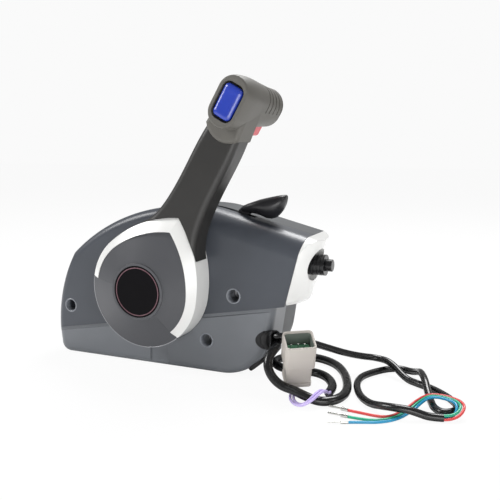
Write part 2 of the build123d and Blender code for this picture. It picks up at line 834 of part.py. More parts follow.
with BuildPart() as hub_cap:
    add(hub_lower(0))
    add(hub_upper(0))
    with BuildSketch(lever_plane(inner_y)):
        Circle(badge_boss_radius)
    extrude(amount=inner_y - badge_y)
    add(hub_lower(hub_wall), mode=Mode.SUBTRACT)
    add(hub_upper(hub_wall), mode=Mode.SUBTRACT)
    with BuildSketch(lever_plane(tongue_front_y - fixed_gap)):
        with PolarLocations(22, 3):
            Circle(4)
    extrude(amount=tongue_front_y - badge_foot_y - 2)
    with BuildSketch(lever_plane(badge_y + badge_thickness)):
        Circle(badge_radius + fixed_gap)
    extrude(amount=badge_thickness, mode=Mode.SUBTRACT)
    tongue_slot()
finish(hub_cap, "hub_cap")

with BuildPart() as hub_badge:
    with BuildSketch(lever_plane(badge_y + badge_thickness - fixed_gap)):
        Circle(badge_radius)
    extrude(amount=badge_thickness - fixed_gap - 0.4)
finish(hub_badge, "hub_badge")

with BuildPart() as hub_band:
    with BuildSketch(lever_plane(hub_back_y)):
        pick_outline(hub_radius, outer_corner, outer_mid)
    extrude(amount=hub_back_y - rim_y)
    with BuildSketch(lever_plane(rim_y)):
        pick_outline(hub_radius, outer_corner, outer_mid)
    with BuildSketch(lever_plane(inner_y)):
        pick_outline(inner_radius, inner_corner, inner_mid)
    loft()
    with BuildSketch(lever_plane(hub_back_y)):
        pick_outline(inner_radius, inner_corner, inner_mid, fixed_gap)
    extrude(amount=hub_reach, mode=Mode.SUBTRACT)
    with BuildSketch(lever_plane(hub_back_y)):
        band_sector()
    extrude(amount=hub_reach, mode=Mode.INTERSECT)
    tongue_slot()
finish(hub_band, "hub_band")

# ---------------------------------------------------------------- lever arm

with BuildPart() as lever_arm:
    side = [arm_tip, arm_flare, arm_low, arm_middle, (arm_top_half, arm_top)]
    with BuildSketch(lever_plane(lever_back_y)):
        with BuildLine():
            Spline(*side)
            Line(side[-1], mirrored(side[-1]))
            Spline(*[mirrored(point) for point in reversed(side)])
            Line(mirrored(side[0]), side[0])
        make_face()
    extrude(amount=lever_back_y - lever_front_y)
    front_edges = lever_arm.faces().sort_by(Axis.Y)[0].edges()
    fillet(front_edges.filter_by(GeomType.BSPLINE), lever_edge_radius)
    with BuildSketch(lever_plane(lever_back_y)):
        pick_outline(hub_radius, outer_corner, outer_mid, run_gap)
    extrude(amount=lever_back_y - lever_front_y, mode=Mode.SUBTRACT)
    with BuildSketch(lever_plane(lever_back_y)):
        Circle(boss_radius)
        Rectangle(2 * tongue_half, arm_low[1], align=(Align.CENTER, Align.MIN))
    extrude(amount=lever_back_y - tongue_front_y)
    with BuildSketch(lever_plane(lever_back_y)):
        Circle(shaft_radius + fixed_gap)
    extrude(amount=lever_back_y - tongue_front_y, mode=Mode.SUBTRACT)
    rod_base = lever_up * (boss_radius + 8) + Vector(0, rod_y, 0)
    with BuildSketch(Plane(origin=rod_base, z_dir=lever_up)):
        Circle(rod_radius + run_gap)
    extrude(amount=arm_top, mode=Mode.SUBTRACT)
    with BuildSketch(lever_plane(lever_back_y)):
        with Locations((0, boss_radius + 8)):
            Rectangle(6, 20, align=(Align.CENTER, Align.MIN))
    extrude(amount=lever_back_y - rod_y + rod_radius + run_gap, mode=Mode.SUBTRACT)
finish(lever_arm, "lever_arm")

with BuildPart() as hub_screw:
    with BuildSketch(front_plane(tongue_front_y - fixed_gap)):
        Circle(13)
    extrude(amount=2)
    with BuildSketch(front_plane(tongue_front_y - fixed_gap - 2)):
        RegularPolygon(7, 6)
    extrude(amount=5)
finish(hub_screw, "hub_screw")

# ---------------------------------------------------------------- grip

grip_sections = [
    (head_front_y, head_length, head_width),
    (head_front_y + 8, head_length + 2, head_width + 3),
    (head_front_y + 26, head_length + 1, head_width + 4),
    (grip_waist_y, grip_waist_height, grip_waist_width),
    (grip_waist_y + 18, grip_height + 2.5, grip_width - 0.5),
    (grip_end_y, grip_height, grip_width),
]
cavity_low = head_along - 11.5
cavity_high = head_along + 8.5
cavity_front_y = head_front_y + 26
cavity_rear_y = trigger_y[1] + 3
rocker_pivot_y = head_front_y + 5.0
rocker_pin_radius = 1.2
rocker_pin_length = 24.0

with BuildPart() as grip:
    for y, height, width in grip_sections:
        with BuildSketch(lever_plane(y)):
            with Locations((0, head_along)):
                SlotOverall(height, width, rotation=90)
    loft()
    fillet(grip.faces().sort_by(Axis.Y)[-1].edges(), 7)
    fillet(grip.faces().sort_by(Axis.Y)[0].edges(), 1.5)
    with BuildPart(mode=Mode.PRIVATE) as collar:
        with BuildSketch(lever_plane(collar_back_y)):
            with BuildLine():
                shoulder = (collar_half, collar_low + collar_rise)
                ThreePointArc(mirrored(shoulder), (0, collar_low), shoulder)
                Line(shoulder, (collar_half - 3, head_along))
                Line((collar_half - 3, head_along), (3 - collar_half, head_along))
                Line((3 - collar_half, head_along), mirrored(shoulder))
            make_face()
        extrude(amount=collar_back_y - collar_front_y)
        fillet(collar.faces().sort_by(Axis.Y)[0].edges(), 4)
    add(collar.part)
    add(lever_arm.part, mode=Mode.SUBTRACT)
    with BuildSketch(lever_plane(head_front_y + pocket_depth)):
        with Locations((0, head_along)):
            RectangleRounded(pocket_width, pocket_length, 7)
    extrude(amount=pocket_depth, mode=Mode.SUBTRACT)
    with BuildSketch(Plane(origin=lever_point(0, head_along, rocker_pivot_y), z_dir=lever_right)):
        Circle(rocker_pin_radius + fixed_gap)
    extrude(amount=rocker_pin_length / 2, both=True, mode=Mode.SUBTRACT)
    with BuildSketch(lever_plane(cavity_front_y)):
        with Locations((0, head_along)):
            Rectangle(15.2, 25.2)
    extrude(amount=cavity_front_y - head_front_y, mode=Mode.SUBTRACT)
    with BuildSketch(lever_plane(cavity_rear_y)):
        with Locations((0, cavity_low)):
            Rectangle(16, cavity_high - cavity_low, align=(Align.CENTER, Align.MIN))
    extrude(amount=cavity_rear_y - cavity_front_y, mode=Mode.SUBTRACT)
    with BuildSketch(lever_plane(trigger_y[1] + run_gap)):
        with Locations((0, cavity_low + 2)):
            Rectangle(trigger_width + 2 * run_gap, 40, align=(Align.CENTER, Align.MAX))
    extrude(amount=trigger_y[1] - trigger_y[0] + 2 * run_gap, mode=Mode.SUBTRACT)
    with BuildSketch(Plane(origin=lever_point(0, collar_low - 4, rod_y), z_dir=lever_up)):
        Circle(rod_radius + run_gap)
    extrude(amount=cavity_low + 6 - collar_low, mode=Mode.SUBTRACT)
    for rib in range(rib_count):
        rib_y = grip_end_y - 6 - rib * rib_pitch
        with BuildSketch(lever_plane(rib_y)):
            with Locations((0, head_along)):
                Rectangle(60, 60, align=(Align.CENTER, Align.MIN))
                core_height = grip_height - 2 * rib_depth
                core_width = grip_width - 1 - 2 * rib_depth
                SlotOverall(core_height, core_width, rotation=90, mode=Mode.SUBTRACT)
        extrude(amount=rib_width, mode=Mode.SUBTRACT)
finish(grip, "grip")

with BuildPart() as trim_switch_body:
    with BuildSketch(lever_plane(cavity_front_y)):
        with Locations((0, head_along)):
            Rectangle(15, 25)
    extrude(amount=cavity_front_y - head_front_y - pocket_depth - 0.2)
finish(trim_switch_body, "trim_switch_body")

with BuildPart() as trim_rocker:
    rocker_side = Plane(
        origin=lever_point(-rocker_width / 2, head_along, 0), x_dir=lever_up, z_dir=lever_right
    )
    crest_y = -(head_front_y - rocker_proud)
    with BuildSketch(rocker_side):
        half = rocker_length / 2
        with BuildLine():
            ThreePointArc((-half, crest_y), (0, crest_y - 1.4), (half, crest_y))
            edge = (half, -rocker_pivot_y - 0.4)
            knee = (4, -rocker_pivot_y - 1.4)
            keel = (2.6, -rocker_pivot_y - 2.6)
            underside = [(half, crest_y), edge, knee, keel]
            Polyline(*underside, *[(-x, y) for x, y in reversed(underside)])
        make_face()
    extrude(amount=rocker_width)
    fillet(trim_rocker.edges().filter_by(Axis.Y), 3.0)
    pin_foot = lever_point(-rocker_width, head_along, rocker_pivot_y)
    with BuildSketch(Plane(origin=pin_foot, z_dir=lever_right)):
        Circle(rocker_pin_radius + 0.05)
    extrude(amount=2 * rocker_width, mode=Mode.SUBTRACT)
finish(trim_rocker, "trim_rocker")

with BuildPart() as rocker_pin:
    with BuildSketch(Plane(origin=lever_point(0, head_along, rocker_pivot_y), z_dir=lever_right)):
        Circle(rocker_pin_radius)
    extrude(amount=rocker_pin_length / 2 - fixed_gap, both=True)
finish(rocker_pin, "rocker_pin")

# ---------------------------------------------------------------- neutral lock trigger

bar_along = cavity_low + 2.0
bar_height = 4.0
dog_along = lock_plate_radius + 0.6

with BuildPart() as lock_trigger:
    with BuildSketch(lever_plane(trigger_y[1])):
        with Locations((0, trigger_low)):
            Rectangle(trigger_width, bar_along - 2.5 - trigger_low, align=(Align.CENTER, Align.MIN))
    extrude(amount=trigger_y[1] - trigger_y[0])
    low_face = lock_trigger.faces().sort_by(lambda face: face.center().dot(lever_up))[0]
    fillet(low_face.edges(), 3.0)
    with BuildSketch(lever_plane(trigger_y[1] - 5)):
        with Locations((0, bar_along - 4)):
            Rectangle(6, 4.5, align=(Align.CENTER, Align.MIN))
    extrude(amount=trigger_y[1] - trigger_y[0] - 10)
    with BuildSketch(lever_plane(trigger_y[1])):
        with Locations((0, bar_along)):
            Rectangle(6, bar_height, align=(Align.CENTER, Align.MIN))
    extrude(amount=trigger_y[1] - rod_y + rod_radius)
finish(lock_trigger, "lock_trigger")

with BuildPart() as lock_rod:
    with BuildSketch(Plane(origin=lever_point(0, dog_along + 4, rod_y), z_dir=lever_up)):
        Circle(rod_radius)
    extrude(amount=bar_along - dog_along - 4)
    with BuildSketch(lever_plane(front_y - 1.0)):
        with Locations((0, dog_along)):
            Rectangle(4.6, 5.4, align=(Align.CENTER, Align.MIN))
    extrude(amount=front_y - 1.0 - rod_y)
finish(lock_rod, "lock_rod")

# ---------------------------------------------------------------- fast-idle lever

blade_radians = radians(blade_angle)
blade_reach = 114.0
blade_tip = Vector(cos(blade_radians), sin(blade_radians)) * (blade_reach - 3)
paddle_end_x = blade_tip.X + paddle_overhang

with BuildPart() as paddle:
    with BuildSketch(front_plane(blade_y + paddle_width / 2)):
        with BuildLine():
            ThreePointArc(*[blade_tip + step for step in ((-5.4, 3.2), (15.1, 12.2), (36.1, 16.2))])
            ThreePointArc(*[blade_tip + step for step in ((36.1, 16.2), (40.1, 10.2), (34.1, -0.8))])
            ThreePointArc(*[blade_tip + step for step in ((34.1, -0.8), (29.1, -6.8), (22.1, -7.8))])
            ThreePointArc(*[blade_tip + step for step in ((22.1, -7.8), (9.1, -3.3), (-2.9, -2.3))])
            Line(blade_tip + (-2.9, -2.3), blade_tip + (-5.4, 3.2))
        make_face()
        fillet(vertices(), 2.2)
    extrude(amount=paddle_width)
    with BuildSketch(Plane.XY):
        with Locations((paddle_end_x, blade_y)):
            RectangleRounded(paddle_end_x, paddle_width, paddle_width / 2 - 1, align=(Align.MAX, Align.CENTER))
    extrude(amount=paddle_end_x, mode=Mode.INTERSECT)
    paddle_sides = paddle.faces().filter_by(Axis.Y).sort_by(Axis.Y)
    fillet(paddle_sides[0].edges() + paddle_sides[-1].edges(), 2.0)

with BuildPart() as fast_idle_lever:
    blade_side = Plane(
        origin=(0, blade_y + blade_thickness / 2, 0),
        x_dir=(cos(blade_radians), 0, sin(blade_radians)),
        z_dir=(0, -1, 0),
    )
    with BuildSketch(blade_side):
        Circle(idle_ring_radius)
        with Locations((idle_ring_radius - 3, 0)):
            Rectangle(blade_reach - idle_ring_radius, blade_width, align=(Align.MIN, Align.CENTER))
        Circle(shaft_radius + shaft_clearance, mode=Mode.SUBTRACT)
    extrude(amount=blade_thickness)
    add(paddle.part)
finish(fast_idle_lever, "fast_idle_lever")

# ---------------------------------------------------------------- gland, plug and tie

gland_plane = Plane(origin=gland_place, x_dir=(0.14, -0.108, -0.968), z_dir=gland_direction)
harness_shift = 3.4  # each lead's distance from the gland's axis
trim_shift = -4.1

with BuildPart() as cable_gland:
    with BuildSketch(gland_plane.offset(-7)):
        Circle(gland_flange_radius)
    extrude(amount=9)
    with BuildSketch(gland_plane.offset(2)):
        Circle(gland_flange_radius - 0.6)
    with BuildSketch(gland_plane.offset(gland_length)):
        Circle(gland_radius)
    loft()
    add(lower_form(0), mode=Mode.SUBTRACT)
    with BuildSketch(gland_plane.offset(-7)):
        Circle(gland_radius)
    extrude(amount=9)
finish(cable_gland, "cable_gland")

with BuildPart() as cover_plug:
    with BuildSketch(Plane(origin=grommet_centre, z_dir=grommet_axis).offset(-4)):
        Circle(grommet_radius + 2)
    extrude(amount=9)
    fillet(cover_plug.faces().sort_by(lambda face: face.center().dot(grommet_axis))[-1].edges(), 2.0)
    add(lower_form(0), mode=Mode.SUBTRACT)
    with BuildSketch(Plane(origin=grommet_centre, z_dir=grommet_axis).offset(-6)):
        Circle(grommet_radius)
    extrude(amount=9)
finish(cover_plug, "cover_plug")


def lead_places(spread):
    """Discs round both leads and the strip between them, each grown by spread."""
    Circle(1)
    with Locations((harness_shift, 0)):
        Circle(harness_radius + spread)
    with Locations((trim_shift, 0)):
        Circle(trim_lead_radius + 0.4 + spread)


with BuildPart() as cable_tie:
    tie_plane = gland_plane.offset(gland_length + 1.6)
    with BuildSketch(tie_plane):
        lead_places(1.7)
        make_hull()
        with Locations((0, harness_radius + 2.6)):
            Rectangle(6, 5)
    extrude(amount=3.6)
    with BuildSketch(tie_plane):
        lead_places(0.4)
        make_hull()
    extrude(amount=3.6, mode=Mode.SUBTRACT)
    for tail_lean, tail_reach in ((-16, 17.0), (14, 15.0)):
        with BuildSketch(tie_plane.offset(1.2)):
            with Locations(Location((0, harness_radius + 4, 0), (0, 0, tail_lean))):
                Rectangle(2.6, tail_reach, align=(Align.CENTER, Align.MIN))
        extrude(amount=1.2)
finish(cable_tie, "cable_tie")

# ---------------------------------------------------------------- connector

connector_plane = Plane(origin=connector_foot, x_dir=connector_lateral, z_dir=connector_lean)
connector_wall = 1.8
connector_floor = 24.0
shroud_foot = 27.0
wedge_height = 10.0
pin_radius = 0.8
pin_length = 15.0
pin_grid = GridLocations(6.0, 7.0, 3, 2)

with BuildPart() as connector_shell:
    for level, height, trim in ((0, 5, 1.0), (5, 1.2, 2.4), (6.2, shroud_foot - 6.2, 1.0)):
        with BuildSketch(connector_plane.offset(level)):
            RectangleRounded(connector_width - trim, connector_depth - trim, 3)
        extrude(amount=height)
    with BuildSketch(connector_plane.offset(shroud_foot)):
        RectangleRounded(connector_width, connector_depth, 4)
    extrude(amount=connector_length - shroud_foot)
    with BuildSketch(connector_plane.offset(connector_floor)):
        RectangleRounded(connector_width - 2 * connector_wall, connector_depth - 2 * connector_wall, 3)
    extrude(amount=connector_length, mode=Mode.SUBTRACT)
    with BuildSketch(connector_plane.offset(12)):
        with Locations((-connector_width / 2 + 0.2, 0), (connector_width / 2 - 0.2, 0)):
            Rectangle(2.2, 10)
    extrude(amount=20)
finish(connector_shell, "connector_shell")

with BuildPart() as connector_wedge:
    with BuildSketch(connector_plane.offset(connector_floor)):
        RectangleRounded(
            connector_width - 2 * (connector_wall + fixed_gap),
            connector_depth - 2 * (connector_wall + fixed_gap),
            2.8,
        )
        with pin_grid:
            Circle(pin_radius + fixed_gap, mode=Mode.SUBTRACT)
    extrude(amount=wedge_height)
finish(connector_wedge, "connector_wedge")

with BuildPart() as connector_pins:
    with BuildSketch(connector_plane.offset(connector_floor)):
        with pin_grid:
            Circle(pin_radius)
    extrude(amount=pin_length)
finish(connector_pins, "connector_pins")

# ---------------------------------------------------------------- leads


def lead(label, route, radius):
    """Round lead swept along a route whose corners are rounded as far as the runs allow."""
    points = [Vector(*point) for point in route]
    bends = []
    for before, here, after in zip(points, points[1:], points[2:]):
        half_turn = (here - before).get_angle(after - here) / 2
        shorter = min((here - before).length, (after - here).length)
        bends.append(0.45 * shorter / tan(radians(half_turn)))
    with BuildPart() as tube:
        with BuildLine() as path:
            FilletPolyline(*points, radius=bends)
        with BuildSketch(path.line ^ 0):
            Circle(radius)
        sweep(path=path.line)
    length = path.wires()[0].length
    print(label, "length", round(length), "bend radii", [round(bend, 1) for bend in bends])
    return tube.part


floor_sheath = floor_z + harness_radius + 0.1
floor_trim = floor_z + trim_lead_radius + 0.1
floor_wire = floor_z + wire_radius + 0.1
gland_face = gland_plane.offset(gland_length)
harness_start = gland_face.from_local_coords(Vector(harness_shift, 0, 0))
trim_start = gland_face.from_local_coords(Vector(trim_shift, 0, 0))
harness_axis = gland_axis * 10
trim_axis = gland_axis * 8

harness_route = [
    tuple(harness_start),
    tuple(harness_start + harness_axis),
    (129.5, -87.0, -44.5),
    (126.5, -94.0, -51.0),
    (128.5, -98.5, -59.0),
    (134.5, -100.0, -67.0),
    (143.0, -100.5, -72.0),
    (153.0, -102.0, -73.0),
    (163.0, -105.0, -75.0),
    (176.5, -106.0, floor_sheath),
    (187.5, -100.0, floor_sheath),
    (192.8, -87.0, floor_sheath),
    (192.5, -71.0, floor_sheath),
    (187.5, -51.0, floor_sheath),
    (178.5, -27.5, floor_sheath),
    (165.0, -7.0, floor_sheath),
    (147.0, 4.5, floor_sheath),
    (127.0, 6.0, floor_sheath),
    (111.5, -3.0, floor_sheath),
    (104.5, -18.0, floor_sheath),
    (110.0, -32.0, floor_sheath),
    (123.0, -39.0, floor_sheath),
    (139.0, -38.0, floor_sheath),
    (154.0, -37.0, floor_sheath),
    (166.5, -45.0, floor_sheath),
    (175.0, -58.0, floor_sheath),
    (179.5, -71.0, floor_sheath),
    (179.5, -84.0, floor_sheath),
]

trim_route = [
    tuple(trim_start),
    tuple(trim_start + trim_axis),
    (137.0, -70.5, -36.5),
    (146.5, -58.5, -41.3),
    (155.3, -47.5, -47.2),
    (165.5, -33.0, -54.5),
    (176.9, -21.0, -61.0),
    (189.0, -8.0, -66.5),
    (202.0, 3.0, -69.8),
    (217.5, -4.0, -69.8),
    (234.0, -19.5, floor_trim),
    (247.0, -28.0, floor_trim),
    (259.0, -34.5, floor_trim),
    (269.0, -43.5, floor_trim),
    (279.0, -55.0, floor_trim),
    (286.0, -68.0, floor_trim),
    (285.0, -81.0, floor_trim),
    (276.0, -88.0, floor_trim),
    (268.0, -80.0, floor_trim),
    (263.5, -66.0, floor_trim),
    (258.5, -52.5, -75.0),
    (254.5, -40.0, -69.8),
    (248.0, -21.0, -69.8),
    (243.0, -7.5, -75.0),
    (235.0, 3.0, floor_trim),
    (225.5, 7.5, floor_trim),
    (216.0, 4.0, floor_trim),
    (208.0, -5.0, floor_trim),
    (201.0, -16.0, floor_trim),
    (196.0, -27.0, floor_trim),
    (194.8, -39.0, floor_trim),
    (196.2, -51.0, floor_trim),
    (199.6, -62.5, floor_trim),
    (204.0, -73.5, floor_trim),
    (210.0, -83.5, floor_trim),
    (219.0, -93.5, -78.5),
    (229.0, -101.0, -75.5),
    (240.0, -104.8, -73.9),
    (251.0, -104.6, -73.9),
    (259.5, -102.6, -76.5),
    (267.5, -100.2, floor_trim),
    (277.9, -97.5, floor_trim),
]

red_route = [
    (278.3, -99.05, -80.0),
    (283.1, -97.8, -80.0),
    (290.4, -92.6, -77.0),
    (292.8, -84.0, -72.8),
    (288.8, -75.8, -71.7),
    (280.8, -70.5, -71.6),
    (270.6, -68.2, -71.6),
    (261.0, -68.8, -72.6),
    (252.6, -73.8, -77.5),
    (247.2, -82.0, floor_wire),
    (243.6, -92.5, floor_wire),
    (240.2, -102.0, floor_wire),
    (235.2, -108.5, floor_wire),
    (226.5, -110.3, floor_wire),
    (214.5, -108.6, floor_wire),
    (203.0, -107.4, floor_wire),
]

green_route = [
    (277.9, -97.5, -77.4),
    (282.7, -96.25, -77.4),
    (288.2, -91.5, -75.5),
    (289.8, -84.5, -72.6),
    (286.3, -77.8, -71.7),
    (279.5, -73.5, -71.6),
    (270.5, -71.2, -71.6),
    (262.0, -71.8, -72.6),
    (255.0, -76.0, -77.5),
    (250.0, -83.5, floor_wire),
    (246.5, -93.8, floor_wire),
    (243.0, -103.5, floor_wire),
    (237.6, -112.0, floor_wire),
    (228.5, -118.6, floor_wire),
    (217.5, -120.8, floor_wire),
    (206.4, -120.3, floor_wire),
]

blue_route = [
    (277.5, -95.95, -80.0),
    (282.3, -94.7, -80.0),
    (286.2, -90.6, -77.0),
    (286.8, -85.0, -73.2),
    (284.0, -80.0, -71.7),
    (278.3, -76.5, -71.6),
    (270.3, -74.2, -71.6),
    (263.0, -74.8, -72.6),
    (257.3, -78.5, -77.0),
    (252.8, -85.0, floor_wire),
    (249.4, -95.2, floor_wire),
    (245.8, -105.3, floor_wire),
    (239.8, -114.6, floor_wire),
    (230.5, -122.2, floor_wire),
    (220.0, -126.2, floor_wire),
    (209.2, -130.8, floor_wire),
]

purple_middle = [
    connector_foot,
    (146.4, -74.8, -76.3),
    (146.8, -78.2, floor_wire),
    (147.6, -86.0, floor_wire),
    (149.6, -95.0, floor_wire),
    (152.8, -104.0, floor_wire),
    (159.0, -112.0, floor_wire),
    (166.8, -116.2, -79.5),
    (173.2, -114.0, -74.5),
    (177.7, -105.5, -69.6),
    (179.2, -96.0, -71.5),
    (179.5, -88.6, -77.0),
    (179.5, -84.0, -77.0),
]
purple_sides = [
    (1.5, 0.9),
    (1.5, 0.9),
    (1.5, 0.3),
    (1.5, 0.1),
    (1.45, 0.45),
    (1.3, 0.75),
    (0.95, 1.15),
    (0.1, 1.5),
    (-1.2, 0.9),
    (-1.5, 0.3),
    (-1.5, 0.0),
    (-1.5, 0.0),
    (-1.5, 0.0),
]


def beside(route, sides, step):
    """The route shifted by step times its own sideways vector at each point."""
    return [(x + step * dx, y + step * dy, z) for (x, y, z), (dx, dy) in zip(route, sides)]


with BuildPart() as main_harness_sheath:
    add(lead("main_harness_sheath", harness_route, harness_radius))
finish(main_harness_sheath, "main_harness_sheath")

with BuildPart() as trim_cable_sheath:
    add(lead("trim_cable_sheath", trim_route, trim_lead_radius))
finish(trim_cable_sheath, "trim_cable_sheath")

with BuildPart() as red_wire:
    add(lead("red_wire", red_route, wire_radius))
finish(red_wire, "red_wire")

with BuildPart() as green_wire:
    add(lead("green_wire", green_route, wire_radius))
finish(green_wire, "green_wire")

with BuildPart() as blue_wire:
    add(lead("blue_wire", blue_route, wire_radius))
finish(blue_wire, "blue_wire")

with BuildPart() as purple_wire_inner:
    add(lead("purple_wire_inner", beside(purple_middle, purple_sides, 1), wire_radius))
finish(purple_wire_inner, "purple_wire_inner")

with BuildPart() as purple_wire_outer:
    add(lead("purple_wire_outer", beside(purple_middle, purple_sides, -1), wire_radius))
finish(purple_wire_outer, "purple_wire_outer")

# ---------------------------------------------------------------- terminals

crimp_radius = 1.7
crimp_length = 6.0
contact_radius = 0.9
contact_length = 17.0

with BuildPart() as wire_terminals:
    for route in (red_route, green_route, blue_route):
        end = Vector(*route[-1])
        way = (end - Vector(*route[-2])).normalized()
        end_plane = Plane(origin=end + Vector(0, 0, crimp_radius - wire_radius), z_dir=way)
        with BuildSketch(end_plane):
            Circle(crimp_radius)
        extrude(amount=crimp_length)
        with BuildSketch(end_plane.offset(crimp_length)):
            Circle(contact_radius)
        extrude(amount=contact_length - crimp_length)
finish(wire_terminals, "wire_terminals")
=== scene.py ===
# %% [markdown]
# A side-mount boat control: one lever that a helmsman pushes forward or pulls back to shift
# the gearbox and open the throttle. The engineering model brings every solid at its true
# place and size; this lesson gives those solids the finishes of the real object, adds what
# solids show badly, such as flexible leads, and sets up a plain studio.
# Everything is in metres, with +X aft, +Y into the boat's side and +Z up.

import json
import math

import bmesh
import bpy
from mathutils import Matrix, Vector


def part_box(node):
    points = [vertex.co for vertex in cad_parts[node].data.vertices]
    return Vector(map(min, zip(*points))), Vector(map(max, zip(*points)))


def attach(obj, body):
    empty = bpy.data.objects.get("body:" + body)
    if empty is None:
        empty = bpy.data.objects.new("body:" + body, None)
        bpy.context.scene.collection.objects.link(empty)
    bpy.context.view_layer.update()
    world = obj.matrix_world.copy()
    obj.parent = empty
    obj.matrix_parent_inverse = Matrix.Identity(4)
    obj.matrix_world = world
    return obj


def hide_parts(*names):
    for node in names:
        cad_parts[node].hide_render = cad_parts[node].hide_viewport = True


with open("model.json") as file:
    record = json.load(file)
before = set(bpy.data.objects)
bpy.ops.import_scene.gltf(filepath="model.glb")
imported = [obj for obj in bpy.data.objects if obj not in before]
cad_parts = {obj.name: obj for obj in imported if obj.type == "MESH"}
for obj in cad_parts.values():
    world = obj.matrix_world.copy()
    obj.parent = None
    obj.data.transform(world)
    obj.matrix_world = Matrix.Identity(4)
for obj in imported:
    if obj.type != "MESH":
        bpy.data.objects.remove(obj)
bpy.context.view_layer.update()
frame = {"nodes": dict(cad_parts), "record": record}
nodes = frame["nodes"]

# %% [markdown]
# The camera stands in front of the case and a little aft of it, slightly above the lever's
# grip, and looks down by nine degrees. It is turned by angles rather than pointed at an
# object, because a camera that tracks something is harder to reuse.

# %% Camera
camera_place = Vector((0.3319, -0.6146, 0.1339))
camera_pitch_down = 8.96
camera_yaw = 23.13
focal_pixels = 661.0
frame_pixels = 500.0
sensor_mm = 36.0

camera_data = bpy.data.cameras.new("camera")
camera_data.sensor_width = sensor_mm
camera_data.lens = sensor_mm * focal_pixels / frame_pixels
camera_data.clip_start = 0.01
camera = bpy.data.objects.new("camera", camera_data)
camera.location = camera_place
camera.rotation_euler = (math.radians(90 - camera_pitch_down), 0, math.radians(camera_yaw))
bpy.context.scene.collection.objects.link(camera)
bpy.context.scene.camera = camera
print("lens", round(camera_data.lens, 1), "mm")

# %% [markdown]
# Colours are written as the hex values that a screen shows. Blender's sockets want linear
# light, so one function converts them. A second function adds a node to a material with its
# settings and its links, which keeps every material below short enough to read.

# %% Colour and node helpers


def linear(hex_text, alpha=1.0):
    """Linear RGBA of an sRGB hex colour such as '6b7075'."""
    channels = [int(hex_text[i : i + 2], 16) / 255 for i in (0, 2, 4)]
    return [c / 12.92 if c <= 0.04045 else ((c + 0.055) / 1.055) ** 2.4 for c in channels] + [alpha]


def add_node(tree, kind, values=None, links=None, **settings):
    """Adds a node, sets its properties and sockets, and links its inputs to others' outputs."""
    made = tree.nodes.new(kind)
    for name, value in settings.items():
        setattr(made, name, value)
    for socket, value in (values or {}).items():
        made.inputs[socket].default_value = value
    for socket, (source, output) in (links or {}).items():
        tree.links.new(source.outputs[output], made.inputs[socket])
    return made


def empty_material(name):
    """A material with an empty node tree, and that tree."""
    made = bpy.data.materials.new(name)
    made.use_nodes = True
    made.node_tree.nodes.clear()
    return made, made.node_tree


def wear_colours(tree, place, dark, light, patch_mm):
    """Slow drift between two close colours, in patches of about the given size."""
    patches = add_node(
        tree,
        "ShaderNodeTexNoise",
        {"Scale": 1000 / patch_mm, "Detail": 3.0, "Roughness": 0.55},
        {"Vector": (place, "Object")},
    )
    return add_node(
        tree,
        "ShaderNodeMix",
        {"A": linear(dark), "B": linear(light)},
        {"Factor": (patches, "Fac")},
        data_type="RGBA",
    )


# %% [markdown]
# Most of the object is moulded plastic. A mould leaves a fine grain on the surface, its
# polish varies a little from place to place, and every corner is slightly rounded, which
# catches a thin line of light. The grain is noise at a real spacing in millimetres, the
# polish is slower noise on the roughness, and the Bevel node rounds the shading of corners
# that are too small to model.

# %% Moulded plastics


def moulded_plastic(
    name, dark, light, polish, grain_mm, grain_depth, patch_mm=45, ior=1.5, coat=0.0, shine=0.5
):
    """Moulded plastic: two close colours, a roughness range, and the mould's grain."""
    material, tree = empty_material(name)
    place = add_node(tree, "ShaderNodeTexCoord")
    tint = wear_colours(tree, place, dark, light, patch_mm)
    smear = add_node(
        tree,
        "ShaderNodeTexNoise",
        {"Scale": 1000 / (patch_mm * 0.6), "Detail": 4.0, "Roughness": 0.6},
        {"Vector": (place, "Object")},
    )
    gloss = add_node(
        tree,
        "ShaderNodeMapRange",
        {"To Min": polish[0], "To Max": polish[1]},
        {"Value": (smear, "Fac")},
    )
    grain = add_node(
        tree,
        "ShaderNodeTexNoise",
        {"Scale": 1000 / grain_mm, "Detail": 2.0, "Roughness": 0.5},
        {"Vector": (place, "Object")},
    )
    corner = add_node(tree, "ShaderNodeBevel", {"Radius": 0.0006}, samples=4)
    relief = add_node(
        tree,
        "ShaderNodeBump",
        {"Strength": 0.6, "Distance": grain_depth / 1000},
        {"Height": (grain, "Fac"), "Normal": (corner, "Normal")},
    )
    shader = add_node(
        tree,
        "ShaderNodeBsdfPrincipled",
        {"IOR": ior, "Coat Weight": coat, "Coat Roughness": 0.12, "Specular IOR Level": shine},
        {
            "Base Color": (tint, "Result"),
            "Roughness": (gloss, "Result"),
            "Normal": (relief, "Normal"),
        },
    )
    add_node(tree, "ShaderNodeOutputMaterial", links={"Surface": (shader, "BSDF")})
    return material


